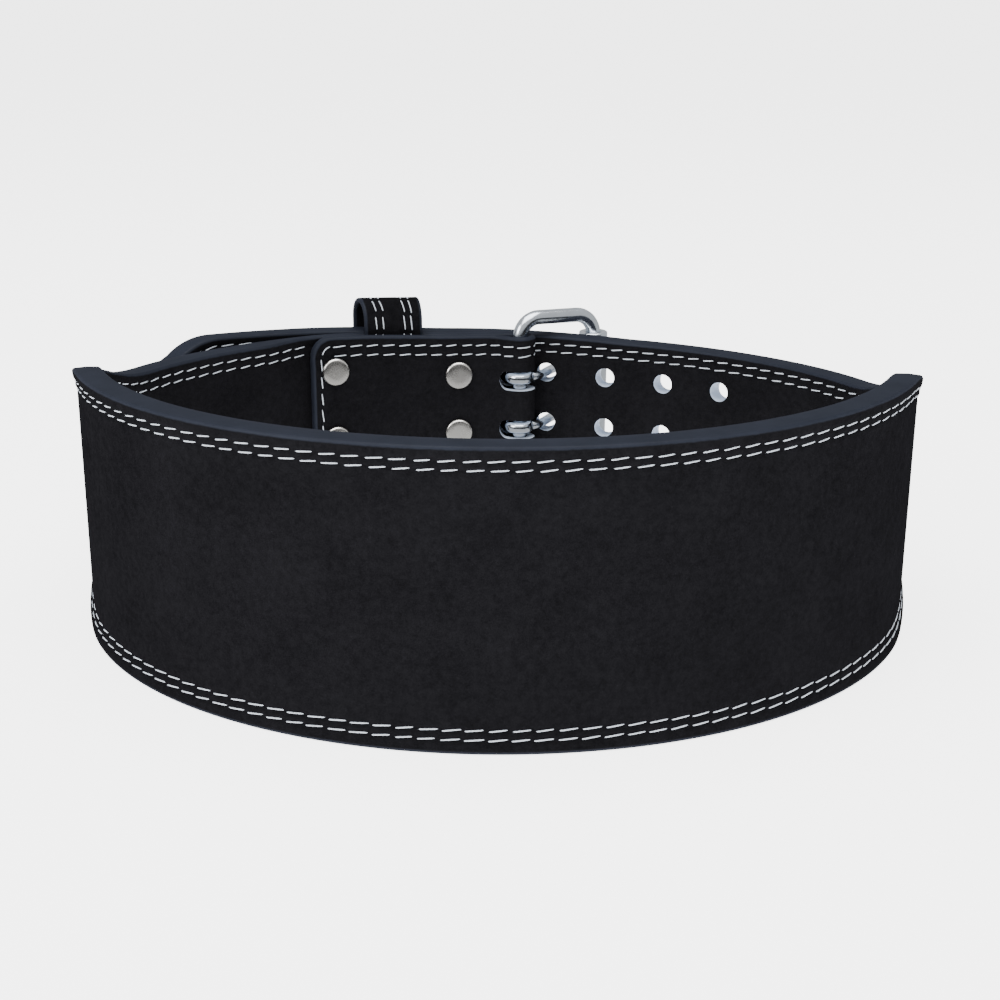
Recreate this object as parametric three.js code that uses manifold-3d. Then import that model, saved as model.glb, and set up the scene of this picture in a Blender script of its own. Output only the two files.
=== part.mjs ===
// Weightlifting belt of thick suede leather, closed round its own oval by a double prong roller buckle.
// Millimetres, +Z up, +X across the waist, +Y from the wide lumbar back towards the buckle.
// The origin is under the middle of the belt's box, on the surface that the back's lower edge stands on.

import * as THREE from 'three';
import { mergeVertices } from 'three/addons/utils/BufferGeometryUtils.js';
import Module from 'manifold-3d';

const wasm = await Module();
wasm.setup();

// Leather strap
const BACK_WIDTH = 100;
const BUCKLE_END_WIDTH = 60.8;
const TONGUE_WIDTH = 56;
const LEATHER = 10;
const EDGE_ROUND = 2;
const LAYER_GAP = 0.3;

// Oval of the worn belt, measured on its outer face
const HALF_SPAN = 155.7;
const BACK_DEPTH = 139.6;
const FRONT_DEPTH = 121.6;
const FRONT_POWER = 1.79;

// Distances along the oval from its front middle: to the left on the buckle end, to the right on the tongue end
const BUCKLE_END_TAPER = 186;
const TONGUE_TAPER = 190;
const TAPER_LENGTH = 70;
const TAPER_ROUND = 0.15;
const LET_IN_START = 20;
const LET_IN_LENGTH = 68;
const FLAP_LENGTH = 88.5;
const FLAP_CORNER = 9;
const FLAP_LEATHER = 4.3;
const SKIVE_LENGTH = 24;

// Heights of the centre lines above the lower edge of the back
const BUCKLE_END_RISE = 1.1;
const BUCKLE_RISE = 0.2;
const TONGUE_RISE = 0.2;
const TONGUE_CLIMB_START = 60;
const TONGUE_CLIMB = 0.03;

// Tongue
const TONGUE_LENGTH = 164;
const TIP_RADIUS = 9;
const TIP_SLOPE = 0.75;
const STAND_OFF_START = 80;
const STAND_OFF_SLOPE = 0.16;
const STAND_OFF_EASE = 12;

// Prong holes
const HOLE_DIAMETER = 8.4;
const HOLE_PITCH = 28;
const HOLE_COLUMNS_RIGHT = 3;
const HOLE_COLUMNS_LEFT = 5;
const ROW_SPACING = 22.8;

// Buckle
const HEEL_BAR = 11.3;
const FRONT_BAR = 41.6;
const WIRE = 6.4;
const FRAME_HALF_HEIGHT = 37.9;
const FRAME_CORNER = 9.2;
const FRONT_BAR_DROP = 1.3;
const FOLD_LEATHER = 3.4;
const FOLD_EASE = 16;
const ROLLER_DIAMETER = 12.7;
const ROLLER_LENGTH = 60;
const RUNNING_GAP = 0.3;

// Prongs and their slots
const PRONG_COLUMN = 23.5;
const PRONG_EYE_DIAMETER = 13;
const PRONG_WIDTH = 5.2;
const PRONG_SHANK = 4;
const PRONG_TIP = 1.2;
const SLOT_WIDTH = 8.4;
const SLOT_END = -1.2;
const SLOT_SPACING = 22;

// Rivets: distance along the oval and half of the spacing across the belt
const RIVET_FROM_END = 11.7;
const RIVET_COLUMNS = [
  { name: 'left', along: FLAP_LENGTH - RIVET_FROM_END, halfSpacing: 15.3 },
  { name: 'right', along: 20.1, halfSpacing: 13 },
];
const RIVET_CAP = 12;
const RIVET_CAP_HEIGHT = 1.9;
const RIVET_SHANK = 4;
const RIVET_BACK_CAP = 10;
const RIVET_BACK_HEIGHT = 1;

// Keeper loop
const KEEPER_ALONG = 49.9;
const KEEPER_WIDTH = 26;
const KEEPER_LEATHER = 2.2;
const KEEPER_HALF_HEIGHT = 45.1;
const KEEPER_EASE = 8;

// Facets
const STRAP_STEP = 8;
const FINE_STEP = 4;
const HOLE_SIDES = 12;
const WIRE_SIDES = 10;
const ROUND_SIDES = 16;

const LEATHER_LOOK = { color: 0x16161a, roughness: 0.9, metalness: 0 };
const CHROME_LOOK = { color: 0xc8ccd2, roughness: 0.2, metalness: 1 };
const NICKEL_LOOK = { color: 0xb9b4aa, roughness: 0.35, metalness: 1 };

const BACK_MIDDLE = BACK_WIDTH / 2;

// Smooth step from 0 to 1.
function ease(t) {
  const u = Math.min(1, Math.max(0, t));
  return u * u * (3 - 2 * u);
}

// Straight hinge max(0, x) with its corner rounded over about the given length.
function softHinge(x, length) {
  return (Math.sqrt(x * x + length * length) + x) / 2;
}

// Values from start to end in equal steps no longer than the given step.
function steps(start, end, step) {
  const count = Math.max(1, Math.ceil(Math.abs(end - start) / step));
  return Array.from({ length: count + 1 }, (_, i) => start + ((end - start) * i) / count);
}

// Outer face of the belt seen from above: an ellipse at the back and a superellipse at the front, as a fine
// closed table of points with their distance from the front middle, going left round the back.
function makeOval() {
  const count = 3600;
  const table = [];
  let length = 0;
  for (let i = 0; i <= count; i += 1) {
    const angle = Math.PI / 2 + (2 * Math.PI * i) / count;
    const [c, s] = [Math.cos(angle), Math.sin(angle)];
    const front = s > 0;
    const power = front ? 2 / FRONT_POWER : 1;
    const x = HALF_SPAN * Math.sign(c) * Math.abs(c) ** power;
    const y = (front ? FRONT_DEPTH : BACK_DEPTH) * Math.sign(s) * Math.abs(s) ** power;
    if (i > 0) {
      length += Math.hypot(x - table[i - 1].x, y - table[i - 1].y);
    }
    table.push({ x, y, length });
  }
  return table;
}

const OVAL = makeOval();
const GIRTH = OVAL[OVAL.length - 1].length;

function ovalPoint(along) {
  const d = ((along % GIRTH) + GIRTH) % GIRTH;
  let low = 0;
  let high = OVAL.length - 1;
  while (high - low > 1) {
    const middle = (low + high) >> 1;
    if (OVAL[middle].length <= d) {
      low = middle;
    } else {
      high = middle;
    }
  }
  const t = (d - OVAL[low].length) / (OVAL[high].length - OVAL[low].length);
  return new THREE.Vector2(
    OVAL[low].x + t * (OVAL[high].x - OVAL[low].x),
    OVAL[low].y + t * (OVAL[high].y - OVAL[low].y),
  );
}

// Point of the oval, its outward normal and the direction in which distances along it grow.
function ovalFrame(along) {
  const reach = 1.5;
  const tangent = ovalPoint(along + reach).sub(ovalPoint(along - reach)).normalize();
  return { point: ovalPoint(along), normal: new THREE.Vector2(tangent.y, -tangent.x), tangent };
}

function offsetPoint(along, offset) {
  const { point, normal } = ovalFrame(along);
  return point.addScaledVector(normal, offset);
}

// Layers, as offsets from the oval: the buckle end is let in by one thickness, so the tongue lies on it.
function buckleEndOuter(along) {
  return -(LEATHER + LAYER_GAP) * (1 - ease((along - LET_IN_START) / LET_IN_LENGTH));
}

function tongueOuter(along) {
  const standOff = along > 0 ? STAND_OFF_SLOPE * softHinge(along - STAND_OFF_START, STAND_OFF_EASE) : 0;
  return buckleEndOuter(along) + LEATHER + LAYER_GAP + standOff;
}

// 1 under the keeper loop, where both layers of the buckle end are pressed apart, and 0 elsewhere.
function underKeeper(along) {
  const beyond = Math.abs(along - KEEPER_ALONG) - KEEPER_WIDTH / 2 - 1;
  return 1 - ease(beyond / KEEPER_EASE);
}

const KEEPER_ROOM = KEEPER_LEATHER + 2 * LAYER_GAP;

// 1 at the heel bar, where the fold opens round it, and 0 past its throat.
function nearHeelBar(along) {
  return 1 - ease((along + HEEL_BAR) / FOLD_EASE);
}

// Thickness of one layer of the folded buckle end.
function layerThickness(along) {
  const pressed = (underKeeper(along) * (KEEPER_ROOM - LAYER_GAP)) / 2;
  return FLAP_LEATHER + (FOLD_LEATHER - FLAP_LEATHER) * nearHeelBar(along) - pressed;
}

const FOLD_RADIUS = WIRE / 2 + RUNNING_GAP;

function layerRoom(along) {
  const keeper = (KEEPER_ROOM - LAYER_GAP) * underKeeper(along);
  return LAYER_GAP + keeper + (2 * FOLD_RADIUS - LAYER_GAP) * nearHeelBar(along);
}

// The strap grows from one layer's thickness to its full thickness past the end of the flap.
function strapThickness(along) {
  if (along > FLAP_LENGTH) {
    return FLAP_LEATHER + (LEATHER - FLAP_LEATHER) * ease((along - FLAP_LENGTH) / SKIVE_LENGTH);
  }
  return layerThickness(along);
}

// Straight ramp from 0 to 1 whose two corners are rounded over the given share of its length.
function roundedRamp(t, corner) {
  const bend = (x) => (Math.abs(x) < corner ? (x + corner) ** 2 / (4 * corner) : Math.max(0, x));
  return bend(t) - bend(t - 1);
}

// Widths and centre heights
function wideness(distance, taperStart) {
  return roundedRamp((distance - taperStart) / TAPER_LENGTH, TAPER_ROUND);
}

function buckleEndCentre(along) {
  const rise = BUCKLE_RISE + (BUCKLE_END_RISE - BUCKLE_RISE) * ease(along / FLAP_LENGTH);
  return BACK_MIDDLE + rise * (1 - wideness(along, BUCKLE_END_TAPER));
}

function tongueCentre(along) {
  const rise = TONGUE_RISE * (1 - wideness(-along, TONGUE_TAPER));
  return BACK_MIDDLE + rise + TONGUE_CLIMB * Math.max(0, along + TONGUE_CLIMB_START);
}

function halfWidth(distance, endWidth, taperStart) {
  return endWidth / 2 + ((BACK_WIDTH - endWidth) / 2) * wideness(distance, taperStart);
}

// Half width of a strap end at a distance from the very end, with rounded corners.
function flapHalfWidth(fromEnd) {
  const left = Math.max(0, FLAP_CORNER - fromEnd);
  return BUCKLE_END_WIDTH / 2 - (FLAP_CORNER - Math.sqrt(FLAP_CORNER ** 2 - left ** 2));
}

// Half width of the pointed tongue: a round tip between two straight slopes.
function tipHalfWidth(fromEnd) {
  const slopeAngle = Math.atan(TIP_SLOPE);
  const roundEnd = TIP_RADIUS * (1 - Math.sin(slopeAngle));
  if (fromEnd < roundEnd) {
    return Math.sqrt(TIP_RADIUS ** 2 - (TIP_RADIUS - fromEnd) ** 2);
  }
  const straight = TIP_RADIUS * Math.cos(slopeAngle) + TIP_SLOPE * (fromEnd - roundEnd);
  return Math.min(TONGUE_WIDTH / 2, straight);
}

// Geometry helpers
function toSolid(positions, indices) {
  const mesh = new wasm.Mesh({
    numProp: 3,
    vertProperties: new Float32Array(positions),
    triVerts: new Uint32Array(indices),
  });
  mesh.merge();
  return new wasm.Manifold(mesh);
}

function geometryToSolid(geometry) {
  let merged = geometry.clone();
  merged.deleteAttribute('normal');
  merged.deleteAttribute('uv');
  merged = mergeVertices(merged, 1e-4);
  return toSolid(merged.attributes.position.array, merged.index.array);
}

function solidToGeometry(solid) {
  const { numProp, vertProperties, triVerts } = solid.getMesh();
  const positions = new Float32Array((vertProperties.length / numProp) * 3);
  for (let i = 0; i < positions.length / 3; i += 1) {
    positions.set(vertProperties.subarray(i * numProp, i * numProp + 3), i * 3);
  }
  const geometry = new THREE.BufferGeometry();
  geometry.setAttribute('position', new THREE.BufferAttribute(positions, 3));
  geometry.setIndex(new THREE.BufferAttribute(new Uint32Array(triVerts), 1));
  geometry.computeVertexNormals();
  return geometry;
}

function signedVolume(positions, indices) {
  let volume = 0;
  const corner = (k) => new THREE.Vector3().fromArray(positions, 3 * indices[k]);
  for (let i = 0; i < indices.length; i += 3) {
    volume += corner(i).dot(corner(i + 1).cross(corner(i + 2))) / 6;
  }
  return volume;
}

// Solid through rings of equal length. Open: flat caps on both end rings. Closed: the last ring meets the first.
function loft(rings, closed = false) {
  const width = rings[0].length;
  const positions = rings.flatMap((ring) => ring.flatMap((p) => [p.x, p.y, p.z]));
  const indices = [];
  const spans = closed ? rings.length : rings.length - 1;
  for (let i = 0; i < spans; i += 1) {
    const next = (i + 1) % rings.length;
    for (let j = 0; j < width; j += 1) {
      const k = (j + 1) % width;
      const [a, b, c, d] = [i * width + j, i * width + k, next * width + k, next * width + j];
      indices.push(a, b, c, a, c, d);
    }
  }
  if (!closed) {
    const last = (rings.length - 1) * width;
    for (let j = 1; j < width - 1; j += 1) {
      indices.push(0, j + 1, j, last, last + j, last + j + 1);
    }
  }
  if (signedVolume(positions, indices) < 0) {
    indices.reverse();
  }
  return toSolid(positions, indices);
}

// Rectangle with rounded corners: across the thickness and up the height.
function roundedSection(thickness, half, round) {
  const radius = Math.min(round, thickness * 0.35, half * 0.5);
  const section = [];
  const corners = [[1, 1], [-1, 1], [-1, -1], [1, -1]];
  corners.forEach(([sx, sz], quarter) => {
    for (let i = 0; i <= 2; i += 1) {
      const angle = (Math.PI / 2) * (quarter + i / 2);
      const across = sx * (thickness / 2 - radius) + radius * Math.cos(angle);
      const up = sz * (half - radius) + radius * Math.sin(angle);
      section.push([across, up]);
    }
  });
  return section;
}

// One ring of the strap: middle of the leather, direction to its finished face, centre height and half width.
function strapRing({ middle, face, centre, half, thickness }) {
  return roundedSection(thickness, half, EDGE_ROUND).map(
    ([across, up]) => new THREE.Vector3(middle.x + face.x * across, middle.y + face.y * across, centre + up),
  );
}

function flapStation(along, fromEnd) {
  const thickness = layerThickness(along);
  const outer = buckleEndOuter(along) - layerThickness(along) - layerRoom(along);
  return {
    middle: offsetPoint(along, outer - thickness / 2),
    face: ovalFrame(along).normal.negate(),
    centre: buckleEndCentre(along),
    half: flapHalfWidth(fromEnd),
    thickness,
  };
}

function foldStations() {
  const { point, normal, tangent } = ovalFrame(-HEEL_BAR);
  const centre = point.clone().addScaledVector(normal, heelOffset());
  const radius = FOLD_RADIUS + FOLD_LEATHER / 2;
  return steps(0, Math.PI, Math.PI / 8).slice(1, -1).map((angle) => {
    const face = normal.clone().multiplyScalar(-Math.cos(angle)).addScaledVector(tangent, -Math.sin(angle));
    return {
      middle: centre.clone().addScaledVector(face, radius),
      face,
      centre: buckleEndCentre(-HEEL_BAR),
      half: BUCKLE_END_WIDTH / 2,
      thickness: FOLD_LEATHER,
    };
  });
}

function heelOffset() {
  return buckleEndOuter(-HEEL_BAR) - FOLD_LEATHER - FOLD_RADIUS;
}

// From the fold round the left side and the back to the right side, where the tongue begins.
function runStation(along) {
  const onTongueSide = along > GIRTH / 2;
  const thickness = strapThickness(along);
  const outer = buckleEndOuter(along);
  const half = onTongueSide
    ? halfWidth(GIRTH - along, TONGUE_WIDTH, TONGUE_TAPER)
    : halfWidth(along, BUCKLE_END_WIDTH, BUCKLE_END_TAPER);
  return {
    middle: offsetPoint(along, outer - thickness / 2),
    face: ovalFrame(along).normal,
    centre: onTongueSide ? tongueCentre(along - GIRTH) : buckleEndCentre(along),
    half,
    thickness,
  };
}

function tongueStation(along) {
  return {
    middle: offsetPoint(along, tongueOuter(along) - LEATHER / 2),
    face: ovalFrame(along).normal,
    centre: tongueCentre(along),
    half: tipHalfWidth(TONGUE_LENGTH - along),
    thickness: LEATHER,
  };
}

// Point and outward normal of a layer's outer face, whose offset from the oval changes along it.
function faceFrame(along, outerFace) {
  const reach = 2;
  const tangent = offsetPoint(along + reach, outerFace(along + reach))
    .sub(offsetPoint(along - reach, outerFace(along - reach)))
    .normalize();
  return { point: offsetPoint(along, outerFace(along)), normal: new THREE.Vector2(tangent.y, -tangent.x) };
}

// Cutters through a layer: a round one, and one that runs along the oval. Depths count inwards from the face.
function radialCylinder(frame, height, diameter, depths) {
  const [outer, inner] = depths.map((depth) => -depth);
  const { point, normal } = frame;
  const geometry = new THREE.CylinderGeometry(diameter / 2, diameter / 2, outer - inner, HOLE_SIDES);
  const place = new THREE.Matrix4().makeBasis(
    new THREE.Vector3(-normal.y, normal.x, 0),
    new THREE.Vector3(normal.x, normal.y, 0),
    new THREE.Vector3(0, 0, -1),
  );
  place.setPosition(
    point.x + (normal.x * (inner + outer)) / 2,
    point.y + (normal.y * (inner + outer)) / 2,
    height,
  );
  geometry.applyMatrix4(place);
  return geometryToSolid(geometry);
}

function slotCutter(height) {
  const outer = buckleEndOuter(0) + LAYER_GAP / 2;
  const inner = outer - 2 * (FOLD_RADIUS + FOLD_LEATHER) - LEATHER;
  const straightEnd = SLOT_END - SLOT_WIDTH / 2;
  const past = -(HEEL_BAR + FOLD_RADIUS + 2 * FOLD_LEATHER);
  const rings = steps(straightEnd, past, FINE_STEP).map((along) =>
    [[outer, 1], [inner, 1], [inner, -1], [outer, -1]].map(([offset, side]) => {
      const at = offsetPoint(along, offset);
      return new THREE.Vector3(at.x, at.y, height + (side * SLOT_WIDTH) / 2);
    }),
  );
  const depths = [-LAYER_GAP / 2, outer - inner];
  const roundEnd = radialCylinder(faceFrame(straightEnd, buckleEndOuter), height, SLOT_WIDTH, depths);
  return loft(rings).add(roundEnd);
}

function slotHeights() {
  return [1, -1].map((side) => buckleEndCentre(-HEEL_BAR) + (side * SLOT_SPACING) / 2);
}

function holeHeights(along) {
  return [1, -1].map((side) => tongueCentre(along) + (side * ROW_SPACING) / 2);
}

function holeColumns() {
  const columns = [];
  for (let i = -HOLE_COLUMNS_RIGHT; i <= HOLE_COLUMNS_LEFT; i += 1) {
    columns.push(-PRONG_COLUMN + i * HOLE_PITCH);
  }
  return columns;
}

function holeCutters() {
  return holeColumns().flatMap((along) => {
    const frame = faceFrame(along, tongueOuter);
    const depths = [-LAYER_GAP / 2, LEATHER + LAYER_GAP / 2];
    return holeHeights(along).map((height) => radialCylinder(frame, height, HOLE_DIAMETER, depths));
  });
}

function rivetPlaces() {
  return RIVET_COLUMNS.flatMap(({ name, along, halfSpacing }) =>
    [['upper', 1], ['lower', -1]].map(([row, side]) => ({
      name: `rivet_${name}_${row}`,
      along,
      height: buckleEndCentre(along) + side * halfSpacing,
    })),
  );
}

// Thickness of the whole folded buckle end.
function buckleEndThickness(along) {
  return 2 * layerThickness(along) + layerRoom(along);
}

// Each rivet has a bore, a pocket for its back cap and a shallow seat that its front cap presses in.
function rivetCutters() {
  return rivetPlaces().flatMap(({ along, height }) => {
    const frame = faceFrame(along, buckleEndOuter);
    const depth = buckleEndThickness(along);
    const clear = 2 * LAYER_GAP;
    const past = RIVET_CAP_HEIGHT;
    return [
      radialCylinder(frame, height, RIVET_SHANK + clear, [0, depth + past]),
      radialCylinder(frame, height, RIVET_BACK_CAP + clear, [-LAYER_GAP / 2, RIVET_BACK_HEIGHT + clear]),
      radialCylinder(frame, height, RIVET_CAP + clear, [depth - LAYER_GAP, depth + past]),
    ];
  });
}

function makeStrap() {
  const endSteps = [0, 1, 3, 6, FLAP_CORNER].map((fromEnd) => FLAP_LENGTH - fromEnd);
  const flap = [...endSteps, ...steps(FLAP_LENGTH - FLAP_CORNER, FINE_STEP, STRAP_STEP).slice(1),
    ...steps(FINE_STEP, -HEEL_BAR, FINE_STEP).slice(1)]
    .map((along) => flapStation(along, FLAP_LENGTH - along));
  const run = [...steps(-HEEL_BAR, LET_IN_START, FINE_STEP), ...steps(LET_IN_START, GIRTH, STRAP_STEP).slice(1)]
    .map(runStation);
  const tipLength = (TONGUE_WIDTH / 2 / TIP_SLOPE) * 1.05;
  const tipStart = 0.4;
  const tongue = [...steps(0, TONGUE_LENGTH - tipLength, STRAP_STEP).slice(1),
    ...steps(TONGUE_LENGTH - tipLength, TONGUE_LENGTH - TIP_RADIUS / 2, FINE_STEP).slice(1),
    TONGUE_LENGTH - 2, TONGUE_LENGTH - tipStart].map(tongueStation);
  const leather = loft([...flap, ...foldStations(), ...run, ...tongue].map(strapRing));
  const cutters = [...slotHeights().map(slotCutter), ...holeCutters(), ...rivetCutters()];
  return cutters.reduce((solid, cutter) => solid.subtract(cutter), leather);
}

// Keeper: a leather band between the two layers of the buckle end that arches over the tongue and back.
function keeperLoop(along, depth) {
  const inner = buckleEndOuter(along) - layerThickness(along) - layerRoom(along) / 2;
  const outer = tongueOuter(along) + LAYER_GAP + KEEPER_LEATHER / 2;
  const radius = (outer - inner) / 2;
  const straight = KEEPER_HALF_HEIGHT - KEEPER_LEATHER / 2 - radius;
  const swell = radius + depth;
  const centre = buckleEndCentre(KEEPER_ALONG);
  const arcSteps = steps(0, Math.PI, Math.PI / 8);
  const top = arcSteps.map((a) => [-swell * Math.cos(a), straight + swell * Math.sin(a)]);
  const bottom = arcSteps.map((a) => [swell * Math.cos(a), -straight - swell * Math.sin(a)]);
  return [...top, ...bottom].map(([across, up]) => {
    const at = offsetPoint(along, (inner + outer) / 2 + across);
    return new THREE.Vector3(at.x, at.y, centre + up);
  });
}

function makeKeeper() {
  const stations = steps(KEEPER_ALONG - KEEPER_WIDTH / 2, KEEPER_ALONG + KEEPER_WIDTH / 2, STRAP_STEP);
  const outside = stations.map((along) => keeperLoop(along, KEEPER_LEATHER / 2));
  const inside = stations.map((along) => keeperLoop(along, -KEEPER_LEATHER / 2)).reverse();
  return loft([...outside, ...inside], true);
}

// Closed tube of round wire along a flat closed path, in the plane of two directions.
function wireRing(path, planeNormal, diameter) {
  const rings = path.map((at, i) => {
    const before = path[(i - 1 + path.length) % path.length];
    const after = path[(i + 1) % path.length];
    const ahead = after.clone().sub(at).normalize().add(at.clone().sub(before).normalize()).normalize();
    const side = new THREE.Vector3().crossVectors(ahead, planeNormal).normalize();
    return tubeRing(at, side, planeNormal, diameter / 2);
  });
  return loft(rings, true);
}

function tubeRing(at, side, up, radius) {
  return Array.from({ length: WIRE_SIDES }, (_, k) => {
    const angle = (2 * Math.PI * k) / WIRE_SIDES;
    return at.clone().addScaledVector(side, radius * Math.cos(angle)).addScaledVector(up, radius * Math.sin(angle));
  });
}

function heelBarCentre() {
  const at = offsetPoint(-HEEL_BAR, heelOffset());
  return new THREE.Vector3(at.x, at.y, buckleEndCentre(-HEEL_BAR));
}

function frontBarCentre() {
  const at = offsetPoint(-FRONT_BAR, ROLLER_DIAMETER / 2 + RUNNING_GAP);
  return new THREE.Vector3(at.x, at.y, buckleEndCentre(-HEEL_BAR) - FRONT_BAR_DROP);
}

// Rounded rectangle of wire from the heel bar, inside the fold, to the front bar, outside the tongue.
function makeFrame() {
  const heel = heelBarCentre();
  const front = frontBarCentre();
  const across = front.clone().sub(heel);
  const up = new THREE.Vector3(0, 0, 1);
  const middle = heel.clone().add(front).multiplyScalar(0.5);
  const halfLength = Math.hypot(across.x, across.y) / 2;
  const ahead = across.clone().divideScalar(2 * halfLength);
  const path = [];
  const corners = [[1, 1], [-1, 1], [-1, -1], [1, -1]];
  corners.forEach(([sx, sz], quarter) => {
    steps(0, Math.PI / 2, Math.PI / 10).forEach((turn) => {
      const angle = (Math.PI / 2) * quarter + turn;
      const x = sx * (halfLength - FRAME_CORNER) + FRAME_CORNER * Math.cos(angle);
      const z = sz * (FRAME_HALF_HEIGHT - FRAME_CORNER) + FRAME_CORNER * Math.sin(angle);
      path.push(middle.clone().addScaledVector(ahead, x).addScaledVector(up, z));
    });
  });
  const normal = new THREE.Vector3().crossVectors(ahead, up).normalize();
  return wireRing(path, normal, WIRE);
}

// Turned piece from a profile of [radius, length] points; its axis is put along the given direction.
function turned(profile, sides, at, axis) {
  const geometry = new THREE.LatheGeometry(profile.map(([r, l]) => new THREE.Vector2(r, l)), sides);
  const turn = new THREE.Quaternion().setFromUnitVectors(new THREE.Vector3(0, 1, 0), axis);
  geometry.applyQuaternion(turn);
  geometry.translate(at.x, at.y, at.z);
  return geometryToSolid(geometry);
}

const UPRIGHT = new THREE.Vector3(0, 0, 1);

function ringProfile(innerRadius, outerRadius, length, bevel) {
  const half = length / 2;
  return [
    [innerRadius, -half],
    [outerRadius - bevel, -half],
    [outerRadius, -half + bevel],
    [outerRadius, half - bevel],
    [outerRadius - bevel, half],
    [innerRadius, half],
    [innerRadius, -half],
  ];
}

function makeRoller() {
  const bore = WIRE / 2 + RUNNING_GAP;
  const bevel = 0.6;
  return turned(ringProfile(bore, ROLLER_DIAMETER / 2, ROLLER_LENGTH, bevel), ROUND_SIDES, frontBarCentre(), UPRIGHT);
}

// Prong: an eye round the heel bar, then a shank through its hole and over the roller.
// Its route is given by distance to the right of the front middle and offset from the oval.
function prongRoute(height) {
  const heel = heelOffset();
  const eye = PRONG_EYE_DIAMETER / 2;
  const overRoller = ROLLER_DIAMETER + 2 * RUNNING_GAP + PRONG_SHANK / 2;
  const columns = [
    { right: HEEL_BAR + eye * 0.75, offset: heel + 0.6 },
    { right: HEEL_BAR + eye + 1.4, offset: heel + 2.6 },
    { right: PRONG_COLUMN - 1.9, offset: -LEATHER - 0.4 },
    { right: PRONG_COLUMN - 0.4, offset: -LEATHER / 2 },
    { right: PRONG_COLUMN + 1, offset: 0 },
    { right: PRONG_COLUMN + 3.2, offset: overRoller * 0.34 },
    { right: FRONT_BAR - 11, offset: overRoller * 0.7 },
    { right: FRONT_BAR - 5.5, offset: overRoller * 0.95 },
    { right: FRONT_BAR, offset: overRoller },
    { right: FRONT_BAR + 4.5, offset: overRoller - 0.6 },
  ];
  return new THREE.CatmullRomCurve3(
    columns.map(({ right, offset }) => {
      const at = offsetPoint(-right, offset);
      return new THREE.Vector3(at.x, at.y, height);
    }),
  );
}

function makeProng(height) {
  const bore = WIRE / 2 + RUNNING_GAP;
  const bevel = 1;
  const heel = heelBarCentre().setZ(height);
  const eye = turned(ringProfile(bore, PRONG_EYE_DIAMETER / 2, PRONG_WIDTH, bevel), ROUND_SIDES, heel, UPRIGHT);
  const route = prongRoute(height);
  const count = 22;
  const rings = Array.from({ length: count + 1 }, (_, i) => {
    const t = i / count;
    const side = new THREE.Vector3().crossVectors(route.getTangentAt(t), UPRIGHT).normalize();
    const radius = i === count ? PRONG_TIP : PRONG_SHANK / 2;
    return tubeRing(route.getPointAt(t), side, UPRIGHT, radius);
  });
  return eye.add(loft(rings));
}

function prongHeights() {
  const [slots, holes] = [slotHeights(), holeHeights(-PRONG_COLUMN)];
  return slots.map((slot, i) => (slot + holes[i]) / 2);
}

// Rivet: a flat cap on the flap, a shank through both layers and a thin cap let into the outer face.
function makeRivet({ along, height }) {
  const { point, normal } = faceFrame(along, buckleEndOuter);
  const seat = -buckleEndThickness(along);
  const back = -LAYER_GAP;
  const bevel = 0.5;
  const profile = [
    [0, seat - RIVET_CAP_HEIGHT],
    [RIVET_CAP / 2 - bevel, seat - RIVET_CAP_HEIGHT],
    [RIVET_CAP / 2, seat - RIVET_CAP_HEIGHT + bevel],
    [RIVET_CAP / 2, seat],
    [RIVET_SHANK / 2, seat],
    [RIVET_SHANK / 2, back - RIVET_BACK_HEIGHT],
    [RIVET_BACK_CAP / 2, back - RIVET_BACK_HEIGHT],
    [RIVET_BACK_CAP / 2, back],
    [0, back],
  ];
  const at = new THREE.Vector3(point.x, point.y, height);
  return turned(profile, HOLE_SIDES, at, new THREE.Vector3(normal.x, normal.y, 0));
}

function namedMesh(name, solid, look) {
  const mesh = new THREE.Mesh(solidToGeometry(solid), new THREE.MeshStandardMaterial(look));
  mesh.name = name;
  return mesh;
}

const belt = new THREE.Group();
belt.add(namedMesh('belt_strap', makeStrap(), LEATHER_LOOK));
belt.add(namedMesh('keeper_loop', makeKeeper(), LEATHER_LOOK));
belt.add(namedMesh('buckle_frame', makeFrame(), CHROME_LOOK));
belt.add(namedMesh('buckle_roller', makeRoller(), CHROME_LOOK));
const [upperProng, lowerProng] = prongHeights();
belt.add(namedMesh('prong_upper', makeProng(upperProng), CHROME_LOOK));
belt.add(namedMesh('prong_lower', makeProng(lowerProng), CHROME_LOOK));
rivetPlaces().forEach((place) => belt.add(namedMesh(place.name, makeRivet(place), NICKEL_LOOK)));

// The origin goes under the middle of the whole belt.
const box = new THREE.Box3().setFromObject(belt);
const middle = box.getCenter(new THREE.Vector3());
belt.position.set(-middle.x, -middle.y, -box.min.z);
belt.updateMatrixWorld(true);

export default belt;
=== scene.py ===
"""Looks of the lifting belt: sewn suede strap, keeper loop, chromed roller buckle, prongs and rivets."""

import math

import bmesh
import bpy
import numpy as np
from mathutils import Matrix, Vector


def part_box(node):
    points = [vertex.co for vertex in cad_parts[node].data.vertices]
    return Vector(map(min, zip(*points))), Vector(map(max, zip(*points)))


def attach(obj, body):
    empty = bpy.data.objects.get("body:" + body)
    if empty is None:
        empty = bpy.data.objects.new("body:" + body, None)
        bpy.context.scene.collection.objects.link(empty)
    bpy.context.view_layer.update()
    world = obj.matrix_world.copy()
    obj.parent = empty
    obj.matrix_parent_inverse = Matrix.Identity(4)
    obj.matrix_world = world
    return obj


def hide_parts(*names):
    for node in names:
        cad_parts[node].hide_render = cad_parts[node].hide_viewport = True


bl_info = {
    "name": "Lifting Belt",
    "version": (1, 0, 0),
    "blender": (4, 5, 0),
    "location": "View3D > Sidebar > Belt",
    "description": "Builds the sewn suede, the buckle and the rivets of a lifting belt round its frame",
    "category": "Add Mesh",
}

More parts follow.
